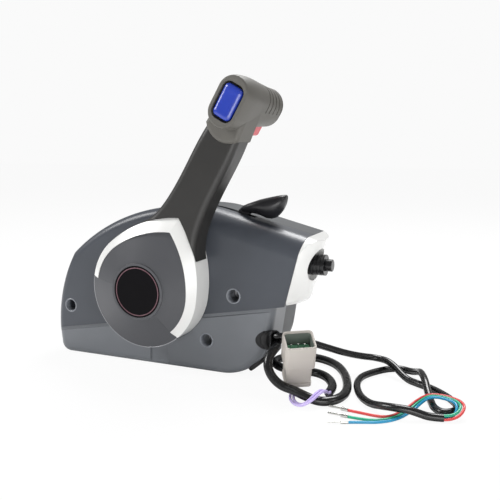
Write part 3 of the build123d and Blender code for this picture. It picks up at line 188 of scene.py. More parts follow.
plastics = {
    # Painted ABS of the case: satin blue-grey, a soft wide highlight on the rolled shoulder.
    "case_grey": moulded_plastic(
        "case_painted_abs", "3d4148", "484c54", (0.32, 0.44), 0.5, 0.012, coat=0.1
    ),
    # The lower covers are the same paint made a shade lighter and softer: painted light, for the
    # pale floor's reflection on their glossy faces.
    "cover_grey_painted_light": moulded_plastic(
        "cover_abs_lighter_as_painted_light", "696d72", "76797e", (0.34, 0.46), 0.5, 0.012, coat=0.1
    ),
    # Unpainted ABS of the rear half: darker and flatter.
    "rear_grey": moulded_plastic("rear_moulded_abs", "3c3f42", "46494c", (0.42, 0.55), 0.7, 0.03),
    # Gloss white ABS of the band and the end panel.
    "trim_white": moulded_plastic(
        "trim_white_abs", "ebebe9", "f1f1ef", (0.18, 0.28), 0.6, 0.01, coat=0.3
    ),
    # Glass-filled nylon of the lever: warm dark grey with a visible spark-eroded grain.
    "lever_grey": moulded_plastic(
        "lever_grained_nylon", "232221", "2e2d2b", (0.36, 0.48), 0.8, 0.05
    ),
    # Soft-touch skin moulded over the grip: warmer, paler and duller than the lever.
    "grip_grey": moulded_plastic(
        "grip_soft_elastomer", "5b5954", "676560", (0.46, 0.6), 0.9, 0.05, ior=1.46
    ),
    # Satin nylon of the hub cap.
    "hub_grey": moulded_plastic("hub_satin_nylon", "48494d", "535458", (0.32, 0.44), 0.7, 0.02),
    # Bare badge: acrylic under a dull lacquer, so it stays black in a white room.
    "badge_black": moulded_plastic(
        "badge_lacquered_acrylic", "09080a", "0f0d11", (0.4, 0.5), 1.5, 0.004, ior=1.49, shine=0.08
    ),
    # Gloss polycarbonate of the trim rocker.
    "rocker_blue": moulded_plastic(
        "rocker_polycarbonate", "1a33a2", "2341b6", (0.2, 0.3), 1.0, 0.01, ior=1.58, coat=0.4
    ),
    # Acetal of the lock trigger: soft red with a dull skin.
    "trigger_red": moulded_plastic(
        "trigger_red_acetal", "cf4f5a", "dc6068", (0.34, 0.46), 0.8, 0.02, ior=1.48
    ),
    # Black nylon of levers, nuts and switches.
    "black_plastic": moulded_plastic(
        "black_moulded_nylon", "101012", "19191b", (0.2, 0.34), 0.6, 0.02
    ),
    # Paddle of the fast-idle lever: the same nylon made a shade lighter as painted light for its
    # lit top, with a softer polish.
    "paddle_black_painted_light": moulded_plastic(
        "paddle_nylon_painted_light", "1a1a1d", "252528", (0.28, 0.38), 0.8, 0.02, shine=0.5
    ),
    # Mouths of the bolt recesses: glossy case plastic coloured far paler than the case, a painted
    # glint.
    "rim_painted_glint": moulded_plastic(
        "recess_abs_painted_glint", "7d8188", "8d9198", (0.08, 0.16), 0.6, 0.004, coat=0.5
    ),
    # Lip of the hub: glossy hub nylon coloured far paler than the hub, a painted highlight.
    "lip_painted_highlight": moulded_plastic(
        "hub_lip_painted_highlight", "8f9094", "a1a2a6", (0.12, 0.2), 0.6, 0.004, coat=0.4
    ),
    # Light grey nylon of the sealed connector: chalky and matt.
    "connector_grey": moulded_plastic(
        "connector_filled_nylon", "b3ada6", "c0bab3", (0.48, 0.6), 0.6, 0.03
    ),
    # Pale green nylon wedge that locks the contacts.
    "wedge_green": moulded_plastic(
        "wedge_green_nylon", "7fc49b", "93d4ac", (0.42, 0.55), 0.6, 0.02
    ),
    # Natural nylon of the gears: ivory, slightly waxy.
    "nylon": moulded_plastic("gear_natural_nylon", "d8d3c0", "e4dfcd", (0.38, 0.5), 0.8, 0.02),
    # Moulded rubber of the gland and the plug.
    "black_rubber": moulded_plastic(
        "black_moulded_rubber", "121213", "1b1b1c", (0.5, 0.68), 0.9, 0.05, ior=1.52
    ),
}
print("plastics:", len(plastics))

# %% [markdown]
# The metal parts are small: pins, screws, bushes and terminals. A metal keeps the default
# IOR and takes its look from its colour and from how it was finished, so only the
# direction and the size of the marks change from one to the next.

# %% Metals


def worked_metal(name, hex_text, polish, mark_mm, stretch, mark_depth):
    """Metal with fine marks, stretched along one axis as the tool left them."""
    material, tree = empty_material(name)
    place = add_node(tree, "ShaderNodeTexCoord")
    run = add_node(tree, "ShaderNodeMapping", {"Scale": stretch}, {"Vector": (place, "Object")})
    marks = add_node(
        tree,
        "ShaderNodeTexNoise",
        {"Scale": 1000 / mark_mm, "Detail": 3.0, "Roughness": 0.6},
        {"Vector": (run, "Vector")},
    )
    gloss = add_node(
        tree,
        "ShaderNodeMapRange",
        {"To Min": polish[0], "To Max": polish[1]},
        {"Value": (marks, "Fac")},
    )
    relief = add_node(
        tree,
        "ShaderNodeBump",
        {"Strength": 0.5, "Distance": mark_depth / 1000},
        {"Height": (marks, "Fac")},
    )
    shader = add_node(
        tree,
        "ShaderNodeBsdfPrincipled",
        {"Base Color": linear(hex_text), "Metallic": 1.0},
        {"Roughness": (gloss, "Result"), "Normal": (relief, "Normal")},
    )
    add_node(tree, "ShaderNodeOutputMaterial", links={"Surface": (shader, "BSDF")})
    return material


metals = {
    # Turned steel: rings round the part from the lathe tool.
    "steel": worked_metal("turned_steel", "b9babd", (0.22, 0.38), 0.6, (1.0, 6.0, 1.0), 0.01),
    # Zinc plate: a little bluer, with a soft frost.
    "zinc_steel": worked_metal(
        "zinc_plated_steel", "c3c7cc", (0.28, 0.45), 0.9, (1.0, 1.0, 1.0), 0.01
    ),
    # Sintered bronze of the bushes: dull and porous.
    "bronze": worked_metal("sintered_bronze", "b08d57", (0.4, 0.6), 0.4, (1.0, 1.0, 1.0), 0.03),
    # Rolled spring strip: streaks along the strip.
    "spring_steel": worked_metal(
        "rolled_spring_steel", "8d8f94", (0.2, 0.34), 0.8, (0.3, 3.0, 0.3), 0.008
    ),
    # Tinned brass of contacts and terminals: bright and smooth.
    "tinned_brass": worked_metal(
        "tinned_brass", "cfcfcb", (0.15, 0.3), 0.7, (1.0, 1.0, 1.0), 0.006
    ),
}

# %% [markdown]
# The insulation of a wire is extruded: the melt is drawn through a round die, so its skin is
# smooth round the wire and has faint ripples along it. The black sheath is soft PVC and
# shines like patent leather, with slow waves in its highlight.

# %% Wire insulation


def extruded_pvc(name, dark, light, polish, wave_mm, wave_depth):
    """Extruded PVC: a glossy skin with slow waves."""
    material, tree = empty_material(name)
    place = add_node(tree, "ShaderNodeTexCoord")
    tint = wear_colours(tree, place, dark, light, 25)
    waves = add_node(
        tree,
        "ShaderNodeTexNoise",
        {"Scale": 1000 / wave_mm, "Detail": 2.0, "Roughness": 0.4},
        {"Vector": (place, "Object")},
    )
    relief = add_node(
        tree,
        "ShaderNodeBump",
        {"Strength": 0.5, "Distance": wave_depth / 1000},
        {"Height": (waves, "Fac")},
    )
    gloss = add_node(
        tree,
        "ShaderNodeMapRange",
        {"To Min": polish[0], "To Max": polish[1]},
        {"Value": (waves, "Fac")},
    )
    shader = add_node(
        tree,
        "ShaderNodeBsdfPrincipled",
        {"IOR": 1.53},
        {
            "Base Color": (tint, "Result"),
            "Roughness": (gloss, "Result"),
            "Normal": (relief, "Normal"),
        },
    )
    add_node(tree, "ShaderNodeOutputMaterial", links={"Surface": (shader, "BSDF")})
    return material


insulations = {
    "cord_black": extruded_pvc("sheath_black_pvc", "0b0b0c", "151516", (0.16, 0.34), 5.0, 0.25),
    "red_insulation": extruded_pvc("wire_red_pvc", "c93a3c", "d64a48", (0.25, 0.4), 4.0, 0.05),
    "green_insulation": extruded_pvc("wire_green_pvc", "219a74", "2eab86", (0.25, 0.4), 4.0, 0.05),
    "blue_insulation": extruded_pvc("wire_blue_pvc", "0f7fa8", "1b90ba", (0.25, 0.4), 4.0, 0.05),
    "purple_insulation": extruded_pvc(
        "wire_purple_pvc", "b9a6e2", "cfc0ee", (0.25, 0.4), 4.0, 0.05
    ),
}
finishes = {**plastics, **metals, **insulations}

# %% [markdown]
# Each solid knows the record's material slot that it belongs to, so the finishes are given
# out in one loop. The solids keep their own meshes; only their material changes.

# %% Give every solid its finish
own_finish = {
    "lower_fore_cover": "cover_grey_painted_light",
    "lower_aft_cover": "cover_grey_painted_light",
    "grip": "grip_grey",
    "fast_idle_lever": "paddle_black_painted_light",
}
for entry in frame["record"]["subparts"]:
    solid = nodes[entry["node"]]
    solid.data.materials.clear()
    solid.data.materials.append(finishes[own_finish.get(entry["node"], entry["material_slot"])])

# %% [markdown]
# A lead is a round flexible tube, so its line has no corners. A NURBS curve with the route's
# points as its control points gives such a line, and the curve's bevel gives it its
# thickness. The order is set after the points, because a spline with too few points falls
# back to straight runs.

# %% Curves for the leads
MM = 0.001
lead_names = []


def lead(name, route_mm, diameter, finish, replaced):
    """A round lead along a route in millimetres, standing for its solid."""
    curve = bpy.data.curves.new(name, "CURVE")
    curve.dimensions = "3D"
    curve.bevel_depth = diameter / 2
    curve.bevel_resolution = 5
    curve.use_fill_caps = True
    spline = curve.splines.new("NURBS")
    spline.points.add(len(route_mm) - 1)
    for point, (x, y, z) in zip(spline.points, route_mm):
        point.co = (x * MM, y * MM, z * MM, 1.0)
    spline.order_u = 3
    spline.use_endpoint_u = True
    spline.resolution_u = 10
    curve.materials.append(finishes[finish])
    made = bpy.data.objects.new(name, curve)
    bpy.context.scene.collection.objects.link(made)
    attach(made, "casing")
    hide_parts(replaced)
    lead_names.append(name)
    return made


# %% [markdown]
# Two black sheaths leave the case through one gland. The thicker one drops in front of the
# case, runs a turn and a half on the floor and ends in two purple wires that go to the
# connector. The thinner one runs aft, lies in two loops and ends in three coloured wires.

# %% The two sheaths
FLOOR = -82.5
harness_radius = 4.0
trim_radius = 3.2
wire_radius = 1.2
floor_sheath = FLOOR + harness_radius + 0.1
floor_trim = FLOOR + trim_radius + 0.1
floor_wire = FLOOR + wire_radius + 0.1

harness_route = [
    (122.50, -70.57, -44.73),
    (130.30, -76.57, -42.93),
    (129.5, -87.0, -44.5),
    (126.5, -94.0, -51.0),
    (128.5, -98.5, -59.0),
    (134.5, -100.0, -67.0),
    (143.0, -100.5, -72.0),
    (153.0, -102.0, -73.0),
    (163.0, -105.0, -75.0),
    (176.5, -106.0, floor_sheath),
    (187.5, -100.0, floor_sheath),
    (192.8, -87.0, floor_sheath),
    (192.5, -71.0, floor_sheath),
    (187.5, -51.0, floor_sheath),
    (178.5, -27.5, floor_sheath),
    (165.0, -7.0, floor_sheath),
    (147.0, 4.5, floor_sheath),
    (127.0, 6.0, floor_sheath),
    (111.5, -3.0, floor_sheath),
    (104.5, -18.0, floor_sheath),
    (110.0, -32.0, floor_sheath),
    (123.0, -39.0, floor_sheath),
    (139.0, -38.0, floor_sheath),
    (154.0, -37.0, floor_sheath),
    (166.5, -45.0, floor_sheath),
    (175.0, -58.0, floor_sheath),
    (179.5, -71.0, floor_sheath),
    (179.5, -84.0, floor_sheath),
]
trim_route = [
    (121.43, -69.75, -37.35),
    (127.67, -74.55, -35.91),
    (137.0, -70.5, -36.5),
    (146.5, -58.5, -41.3),
    (155.3, -47.5, -47.2),
    (165.5, -33.0, -54.5),
    (176.9, -21.0, -61.0),
    (189.0, -8.0, -66.5),
    (202.0, 3.0, -69.8),
    (217.5, -4.0, -69.8),
    (234.0, -19.5, floor_trim),
    (247.0, -28.0, floor_trim),
    (259.0, -34.5, floor_trim),
    (269.0, -43.5, floor_trim),
    (279.0, -55.0, floor_trim),
    (286.0, -68.0, floor_trim),
    (285.0, -81.0, floor_trim),
    (276.0, -88.0, floor_trim),
    (268.0, -80.0, floor_trim),
    (263.5, -66.0, floor_trim),
    (258.5, -52.5, -75.0),
    (254.5, -40.0, -69.8),
    (248.0, -21.0, -69.8),
    (243.0, -7.5, -75.0),
    (235.0, 3.0, floor_trim),
    (225.5, 7.5, floor_trim),
    (216.0, 4.0, floor_trim),
    (208.0, -5.0, floor_trim),
    (201.0, -16.0, floor_trim),
    (196.0, -27.0, floor_trim),
    (194.8, -39.0, floor_trim),
    (196.2, -51.0, floor_trim),
    (199.6, -62.5, floor_trim),
    (204.0, -73.5, floor_trim),
    (210.0, -83.5, floor_trim),
    (219.0, -93.5, -78.5),
    (229.0, -101.0, -75.5),
    (240.0, -104.8, -73.9),
    (251.0, -104.6, -73.9),
    (259.5, -102.6, -76.5),
    (267.5, -100.2, floor_trim),
    (277.9, -97.5, floor_trim),
]
harness_mm = 2 * harness_radius * MM
trim_mm = 2 * trim_radius * MM
harness = lead("harness_sheath", harness_route, harness_mm, "cord_black", "main_harness_sheath")
trim_lead = lead("trim_sheath", trim_route, trim_mm, "cord_black", "trim_cable_sheath")

# %% [markdown]
# The red, green and blue wires come out of the thinner sheath, fan out on the floor and end
# in crimped terminals. The two purple wires arch from the connector back into the thicker
# sheath.

# %% The single wires
red_route = [
    (278.3, -99.05, -80.0),
    (283.1, -97.8, -80.0),
    (290.4, -92.6, -77.0),
    (292.8, -84.0, -72.8),
    (288.8, -75.8, -71.7),
    (280.8, -70.5, -71.6),
    (270.6, -68.2, -71.6),
    (261.0, -68.8, -72.6),
    (252.6, -73.8, -77.5),
    (247.2, -82.0, floor_wire),
    (243.6, -92.5, floor_wire),
    (240.2, -102.0, floor_wire),
    (235.2, -108.5, floor_wire),
    (226.5, -110.3, floor_wire),
    (214.5, -108.6, floor_wire),
    (203.0, -107.4, floor_wire),
]
green_route = [
    (277.9, -97.5, -77.4),
    (282.7, -96.25, -77.4),
    (288.2, -91.5, -75.5),
    (289.8, -84.5, -72.6),
    (286.3, -77.8, -71.7),
    (279.5, -73.5, -71.6),
    (270.5, -71.2, -71.6),
    (262.0, -71.8, -72.6),
    (255.0, -76.0, -77.5),
    (250.0, -83.5, floor_wire),
    (246.5, -93.8, floor_wire),
    (243.0, -103.5, floor_wire),
    (237.6, -112.0, floor_wire),
    (228.5, -118.6, floor_wire),
    (217.5, -120.8, floor_wire),
    (206.4, -120.3, floor_wire),
]
blue_route = [
    (277.5, -95.95, -80.0),
    (282.3, -94.7, -80.0),
    (286.2, -90.6, -77.0),
    (286.8, -85.0, -73.2),
    (284.0, -80.0, -71.7),
    (278.3, -76.5, -71.6),
    (270.3, -74.2, -71.6),
    (263.0, -74.8, -72.6),
    (257.3, -78.5, -77.0),
    (252.8, -85.0, floor_wire),
    (249.4, -95.2, floor_wire),
    (245.8, -105.3, floor_wire),
    (239.8, -114.6, floor_wire),
    (230.5, -122.2, floor_wire),
    (220.0, -126.2, floor_wire),
    (209.2, -130.8, floor_wire),
]
purple_inner_route = [
    (148.50, -75.10, -73.3),
    (147.90, -73.90, -76.3),
    (148.30, -77.90, floor_wire),
    (149.10, -85.90, floor_wire),
    (151.05, -94.55, floor_wire),
    (154.10, -103.25, floor_wire),
    (159.95, -110.85, floor_wire),
    (166.90, -114.70, -79.5),
    (172.00, -113.10, -74.5),
    (176.20, -105.20, -69.6),
    (177.70, -96.00, -71.5),
    (178.00, -88.60, -77.0),
    (178.00, -84.00, -77.0),
]
purple_outer_route = [
    (145.50, -76.90, -73.3),
    (144.90, -75.70, -76.3),
    (145.30, -78.50, floor_wire),
    (146.10, -86.10, floor_wire),
    (148.15, -95.45, floor_wire),
    (151.50, -104.75, floor_wire),
    (158.05, -113.15, floor_wire),
    (166.70, -117.70, -79.5),
    (174.40, -114.90, -74.5),
    (179.20, -105.80, -69.6),
    (180.70, -96.00, -71.5),
    (181.00, -88.60, -77.0),
    (181.00, -84.00, -77.0),
]
wire_mm = 2 * wire_radius * MM
red = lead("wire_red", red_route, wire_mm, "red_insulation", "red_wire")
green = lead("wire_green", green_route, wire_mm, "green_insulation", "green_wire")
blue = lead("wire_blue", blue_route, wire_mm, "blue_insulation", "blue_wire")
purple_inner = lead(
    "wire_purple_inner", purple_inner_route, wire_mm, "purple_insulation", "purple_wire_inner"
)
purple_outer = lead(
    "wire_purple_outer", purple_outer_route, wire_mm, "purple_insulation", "purple_wire_outer"
)


print("single wires:", len(lead_names))

# %% [markdown]
# The small details below are closed skins made from rings of points. Neighbouring rings are
# joined with quads and the two ends are closed, so one helper serves turned parts, moulded
# shells and lofts alike. Every skin is given its body and its finish in one place.

# %% Skins from rings of points


def rounded_ring(width, height, corner, per_corner=8):
    """A rounded rectangle as points (x, y), anticlockwise."""
    points = []
    for turn, (sx, sy) in enumerate(((1, 1), (-1, 1), (-1, -1), (1, -1))):
        middle = (sx * (width / 2 - corner), sy * (height / 2 - corner))
        for step in range(per_corner + 1):
            angle = math.radians(90 * (turn + step / per_corner))
            x = middle[0] + corner * math.cos(angle)
            y = middle[1] + corner * math.sin(angle)
            points.append((x, y))
    return points


def frame_of(origin, x_axis, z_axis):
    """A function that turns local millimetres into metres in the shared frame."""
    ahead = Vector(z_axis).normalized()
    right = (Vector(x_axis) - Vector(x_axis).dot(ahead) * ahead).normalized()
    up = ahead.cross(right)
    start = Vector(origin)
    return lambda x, y, z: tuple((start + right * x + up * y + ahead * z) * MM)


def skin(name, rings, body, finish, closed_round=False, smooth_angle=35):
    """A closed skin through rings with the same number of points, given to a body."""
    count = len(rings[0])
    points = [point for ring in rings for point in ring]
    faces = []
    spans = len(rings) if closed_round else len(rings) - 1
    for level in range(spans):
        here = level * count
        above = ((level + 1) % len(rings)) * count
        for step in range(count):
            after = (step + 1) % count
            faces.append((here + step, here + after, above + after, above + step))
    if not closed_round:
        faces.append(tuple(reversed(range(count))))
        faces.append(tuple(range((len(rings) - 1) * count, len(rings) * count)))
    mesh = bpy.data.meshes.new(name)
    mesh.from_pydata(points, [], faces)
    shape = bmesh.new()
    shape.from_mesh(mesh)
    bmesh.ops.recalc_face_normals(shape, faces=shape.faces)
    shape.to_mesh(mesh)
    shape.free()
    mesh.shade_smooth()
    mesh.set_sharp_from_angle(angle=math.radians(smooth_angle))
    return dress(bpy.data.objects.new(name, mesh), body, finish)


def dress(made, body, finish):
    """Links a finished piece, gives it its material, and lets it ride a body."""
    made.data.materials.clear()
    made.data.materials.append(finishes[finish])
    bpy.context.scene.collection.objects.link(made)
    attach(made, body)
    return made


def turned(place, profile, sides=64):
    """Rings of a turned part: its profile is a list of (radius, distance along the axis)."""
    around = [2 * math.pi * step / sides for step in range(sides)]
    return [
        [place(radius * math.cos(angle), radius * math.sin(angle), along) for angle in around]
        for radius, along in profile
    ]


# %% [markdown]
# The round badge in the hub is bare here. A thin mauve line runs just inside its edge, as a
# printed and lacquered border would, so it is a ring only a fifth of a millimetre proud. The
# hub itself ends in a small rolled lip, coloured far paler than the hub as a painted highlight: a
# thin line of light low on the left.

# %% Badge line and hub lip
lever_tilt = math.radians(30)
lever_right = (math.cos(lever_tilt), 0, -math.sin(lever_tilt))
lever_up = (math.sin(lever_tilt), 0, math.cos(lever_tilt))
badge_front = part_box("hub_badge")[0].y / MM
badge_place = frame_of((0, badge_front, 0), lever_right, (0, -1, 0))
line_profile = [(22.0, -0.2), (22.0, 0.12), (22.25, 0.2), (22.65, 0.2), (22.9, 0.12), (22.9, -0.2)]
finishes["badge_line"] = moulded_plastic(
    "badge_mauve_print", "6a4850", "7d5a63", (0.3, 0.42), 0.8, 0.005, ior=1.49
)

skin(
    "badge_line",
    turned(badge_place, line_profile, 96),
    "lever",
    "badge_line",
    closed_round=True,
)

hub_place = frame_of((0, 0, 0), lever_right, (0, -1, 0))
lip_radius = 55.75
lip_front = 93.3
lip_thickness = 0.45
lip_start = 111
lip_steps = 60
lip_sides = 10


def lip_ring(step):
    """One ring of the lip, at a step of the way round the hub below the white band."""
    turn = math.radians(90 + lip_start + (360 - 2 * lip_start) * step / lip_steps)
    ring = []
    for side in range(lip_sides):
        around = 2 * math.pi * side / lip_sides
        reach_out = lip_radius + lip_thickness * math.cos(around)
        ahead = lip_front + lip_thickness * math.sin(around)
        ring.append(hub_place(reach_out * math.cos(turn), reach_out * math.sin(turn), ahead))
    return ring


lip_rings = [lip_ring(step) for step in range(lip_steps + 1)]
hub_lip = skin("hub_lip", lip_rings, "lever", "lip_painted_highlight", smooth_angle=60)
print("badge line at y", round(badge_front, 1), "lip of", len(hub_lip.data.polygons), "faces")

# %% [markdown]
# The trim rocker is a pillow: its face dips a little between two proud ends and rolls over at
# the rim. A stack of rounded rectangles gives that roll, and the dip comes from moving the
# middle of each ring back along a shallow arc.

# %% Trim rocker
head_along = 195.5
rocker_place = frame_of(tuple(head_along * c for c in lever_up), lever_right, (0, -1, 0))


rocker_width = 18
rocker_height = 29
rocker_corner = 4.4
rocker_crest = 116.0
rocker_dip = 1.2


def rocker_ring(inset, depth):
    """One ring of the rocker: inset from its outline, at a depth behind its crest."""
    corner = max(rocker_corner - 0.7 * inset, 0.6)
    ring = []
    for x, y in rounded_ring(rocker_width - 2 * inset, rocker_height - 2 * inset, corner):
        dip = rocker_dip * (1 - (y / (rocker_height / 2)) ** 2)
        ring.append(rocker_place(x, y, rocker_crest - dip - depth))
    return ring


rocker_steps = [
    (0.4, 8.0),
    (0.0, 6.6),
    (0.0, 3.6),
    (0.15, 2.7),
    (0.6, 1.8),
    (1.3, 1.05),
    (2.3, 0.45),
    (3.5, 0.12),
    (4.8, 0.0),
    (6.4, 0.05),
    (8.0, 0.12),
]
rocker_rings = [rocker_ring(inset, depth) for inset, depth in rocker_steps]
rocker_face = skin("rocker_pillow", rocker_rings, "rocker", "rocker_blue", smooth_angle=50)
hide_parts("trim_rocker")

# %% [markdown]
# Each mounting bolt sits at the bottom of a deep recess with a countersunk mouth, coloured pale as
# a painted glint.
# The mouth is one turned cup. A small Geometry Nodes tree puts a copy at each named place,
# so that a maker can move a bolt by typing one vector.

# %% Countersunk cups


def group_input(tree, kind, name, value=None):
    """Adds a named input to a node group and returns its identifier."""
    made = tree.interface.new_socket(name, in_out="INPUT", socket_type=kind)
    if value is not None:
        made.default_value = value
    return made.identifier


def node_tree(name):
    """An empty geometry tree with its group input and output nodes."""
    tree = bpy.data.node_groups.new(name, "GeometryNodeTree")
    tree.interface.new_socket("Geometry", in_out="INPUT", socket_type="NodeSocketGeometry")
    tree.interface.new_socket("Geometry", in_out="OUTPUT", socket_type="NodeSocketGeometry")
    return tree, tree.nodes.new("NodeGroupInput"), tree.nodes.new("NodeGroupOutput")


def baked(piece, tree, values, body, finish):
    """Runs a tree on a piece with the given inputs and returns the result as a plain mesh."""
    modifier = piece.modifiers.new(tree.name, "NODES")
    modifier.node_group = tree
    for identifier, value in values.items():
        modifier[identifier] = value
    bpy.context.view_layer.update()
    evaluated = piece.evaluated_get(bpy.context.evaluated_depsgraph_get())
    mesh = bpy.data.meshes.new_from_object(evaluated)
    name = piece.name
    bpy.data.objects.remove(piece)
    made = bpy.data.objects.new(name, mesh)
    return dress(made, body, finish)


def loose(name, rings, closed_round=False):
    """A skin that no body owns yet, for a tree to copy."""
    made = skin(name + "_part", rings, "casing", "black_plastic", closed_round)
    made.parent = None
    mesh = made.data
    bpy.data.objects.remove(made)
    part = bpy.data.objects.new(name, mesh)
    bpy.context.scene.collection.objects.link(part)
    return part


def spots_tree(name, count):
    """Copies its geometry to a number of named places, then sets the material."""
    tree, start, end = node_tree(name)
    identifiers = [group_input(tree, "NodeSocketVector", f"Place {i + 1}") for i in range(count)]
    paint = group_input(tree, "NodeSocketMaterial", "Material")
    join = tree.nodes.new("GeometryNodeJoinGeometry")
    for index in range(count):
        moved = tree.nodes.new("GeometryNodeTransform")
        tree.links.new(start.outputs["Geometry"], moved.inputs["Geometry"])
        tree.links.new(start.outputs[f"Place {index + 1}"], moved.inputs["Translation"])
        tree.links.new(moved.outputs["Geometry"], join.inputs["Geometry"])
    real = tree.nodes.new("GeometryNodeRealizeInstances")
    tree.links.new(join.outputs["Geometry"], real.inputs["Geometry"])
    coat = tree.nodes.new("GeometryNodeSetMaterial")
    tree.links.new(real.outputs["Geometry"], coat.inputs["Geometry"])
    tree.links.new(start.outputs["Material"], coat.inputs["Material"])
    tree.links.new(coat.outputs["Geometry"], end.inputs["Geometry"])
    return tree, identifiers, paint


bolt_places = [(-105.2, -30.7), (81.5, -4.4), (52.9, -50.2)]
cup_place = frame_of((0, -68.0, 0), (1, 0, 0), (0, -1, 0))
cup_profile = [
    (5.65, -6.0),
    (5.65, -1.0),
    (5.8, -0.2),
    (6.15, 0.3),
    (6.7, 0.42),
    (7.2, 0.25),
    (7.45, 0.02),
    (5.88, -0.05),
    (5.88, -6.0),
]
cup = loose("bolt_recess_rims", turned(cup_place, cup_profile, 48), closed_round=True)
cup_tree, cup_spots, cup_paint = spots_tree("copies_at_places", len(bolt_places))
cup_values = {spot: (x * MM, 0.0, z * MM) for spot, (x, z) in zip(cup_spots, bolt_places)}
cup_values[cup_paint] = finishes["rim_painted_glint"]
cups = baked(cup, cup_tree, cup_values, "casing", "rim_painted_glint")
print("recess rims:", len(cups.data.polygons), "faces")

# %% [markdown]
# The paddle of the fast-idle lever is a spoon for the thumb: dished on top, narrower below
# and rolled over at its rim. It is lofted through rounded sections from the blade's end to
# the tip. The blade and the ring round the shaft are remade with it, as one moving piece.

# %% Fast-idle paddle
blade_turn = math.radians(41.7)
blade_ahead = (math.cos(blade_turn), 0, math.sin(blade_turn))
blade_across = (-math.sin(blade_turn), 0, math.cos(blade_turn))
blade_middle_y = -38
blade_length = 111.0
blade_width = 10
blade_thickness = 5
blade_ends = (11.0, 112.0)
collar_inner = 8.05
collar_outer = 14.0
spoon_half_width = 12
blade_place = frame_of((0, blade_middle_y, 0), blade_across, blade_ahead)
shaft_place = frame_of((0, blade_middle_y, 0), (1, 0, 0), (0, -1, 0))
spoon_foot = (blade_ahead[0] * blade_length, blade_middle_y, blade_ahead[2] * blade_length)
spoon_place = frame_of(spoon_foot, (1, 0, 0), (0, -1, 0))

# Each station: distance along, underside, top, half width.
spoon_stations = [
    (-5.0, -1.8, 3.2, 4.0),
    (-2.0, -2.2, 5.2, 7.0),
    (3.0, -2.8, 7.6, 9.6),
    (9.0, -3.4, 9.9, 11.3),
    (15.0, -5.0, 12.1, 12.0),
    (21.0, -7.4, 13.6, 12.0),
    (26.0, -7.6, 14.7, 11.6),
    (30.0, -6.2, 15.4, 10.6),
    (33.5, -3.0, 15.9, 9.8),
    (36.5, 0.6, 16.1, 8.4),
    (38.6, 4.6, 15.9, 6.4),
    (39.8, 8.4, 15.0, 3.6),
]


def rounded(value, power=0.8):
    """Keeps the sign of a sine or cosine and fills out the circle's corners."""
    return math.copysign(abs(value) ** power, value)


def spoon_ring(ahead, low, high, half_width, steps=40, dish=1.6, keel=0.4):
    """One section of the spoon, dished on top and narrower at the keel."""
    ring = []
    for step in range(steps):
        turn = 2 * math.pi * step / steps
        level = rounded(math.sin(turn))
        across = half_width * rounded(math.cos(turn)) * (1 - keel * max(0.0, -level))
        bowl = 1 - (across / half_width) ** 2
        hollow = dish * max(0.0, level) * bowl * half_width / spoon_half_width
        height = (low + high) / 2 + level * (high - low) / 2 - hollow
        ring.append(spoon_place(ahead, height, across))
    return ring


def joined(name, parts, body, finish):
    """Makes one piece of a body from several loose skins."""
    shape = bmesh.new()
    for part in parts:
        shape.from_mesh(part.data)
        bpy.data.objects.remove(part)
    mesh = bpy.data.meshes.new(name)
    shape.to_mesh(mesh)
    shape.free()
    mesh.shade_smooth()
    mesh.set_sharp_from_angle(angle=math.radians(50))
    return dress(bpy.data.objects.new(name, mesh), body, finish)


blade_rings = [
    [blade_place(x, y, along) for x, y in rounded_ring(blade_width, blade_thickness, 0.6)]
    for along in blade_ends
]
half_blade = blade_thickness / 2
collar = [
    (collar_inner, -half_blade),
    (collar_outer, -half_blade),
    (collar_outer, half_blade),
    (collar_inner, half_blade),
]
paddle_parts = [
    loose("spoon", [spoon_ring(*station) for station in spoon_stations]),
    loose("blade", blade_rings),
    loose("collar", turned(shaft_place, collar, 64), closed_round=True),
]
paddle = joined("fast_idle_paddle", paddle_parts, "fast_idle", "paddle_black_painted_light")
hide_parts("fast_idle_lever")
print("paddle:", len(paddle.data.polygons), "faces")

# %% [markdown]
# The rubber gland has ribs round its barrel so that it bends without kinking the leads. One
# rib is a turned ring; the tree repeats it along a line, with the number of ribs and the
# step between two of them as its inputs.

# %% Gland ribs


def line_tree(name):
    """Repeats its geometry along a straight line, then sets the material."""
    tree, start, end = node_tree(name)
    count = group_input(tree, "NodeSocketInt", "Count", 3)
    step = group_input(tree, "NodeSocketVector", "Step")
    paint = group_input(tree, "NodeSocketMaterial", "Material")
    line = tree.nodes.new("GeometryNodeMeshLine")
    tree.links.new(start.outputs["Count"], line.inputs["Count"])
    tree.links.new(start.outputs["Step"], line.inputs["Offset"])
    copies = tree.nodes.new("GeometryNodeInstanceOnPoints")
    tree.links.new(line.outputs["Mesh"], copies.inputs["Points"])
    tree.links.new(start.outputs["Geometry"], copies.inputs["Instance"])
    real = tree.nodes.new("GeometryNodeRealizeInstances")
    tree.links.new(copies.outputs["Instances"], real.inputs["Geometry"])
    coat = tree.nodes.new("GeometryNodeSetMaterial")
    tree.links.new(real.outputs["Geometry"], coat.inputs["Geometry"])
    tree.links.new(start.outputs["Material"], coat.inputs["Material"])
    tree.links.new(coat.outputs["Geometry"], end.inputs["Geometry"])
    return tree, count, step, paint


gland_axis = Vector((0.78, -0.6, 0.18)).normalized()
gland_place = frame_of((115.0, -64.8, -43.0), (0.14, -0.108, -0.968), gland_axis)
rib_profile = [(7.3, 3.6), (8.3, 3.8), (8.6, 4.2), (8.3, 4.6), (7.3, 4.8)]
rib_pitch_mm = 1.9
rib_tree, rib_count, rib_step, rib_paint = line_tree("copies_along_line")
rib_values = {
    rib_count: 3,
    rib_step: tuple(gland_axis * rib_pitch_mm * MM),
    rib_paint: finishes["black_rubber"],
}
rib = loose("gland_ribs", turned(gland_place, rib_profile, 48), closed_round=True)
ribs = baked(rib, rib_tree, rib_values, "casing", "black_rubber")
print("gland ribs:", len(ribs.data.polygons), "faces")
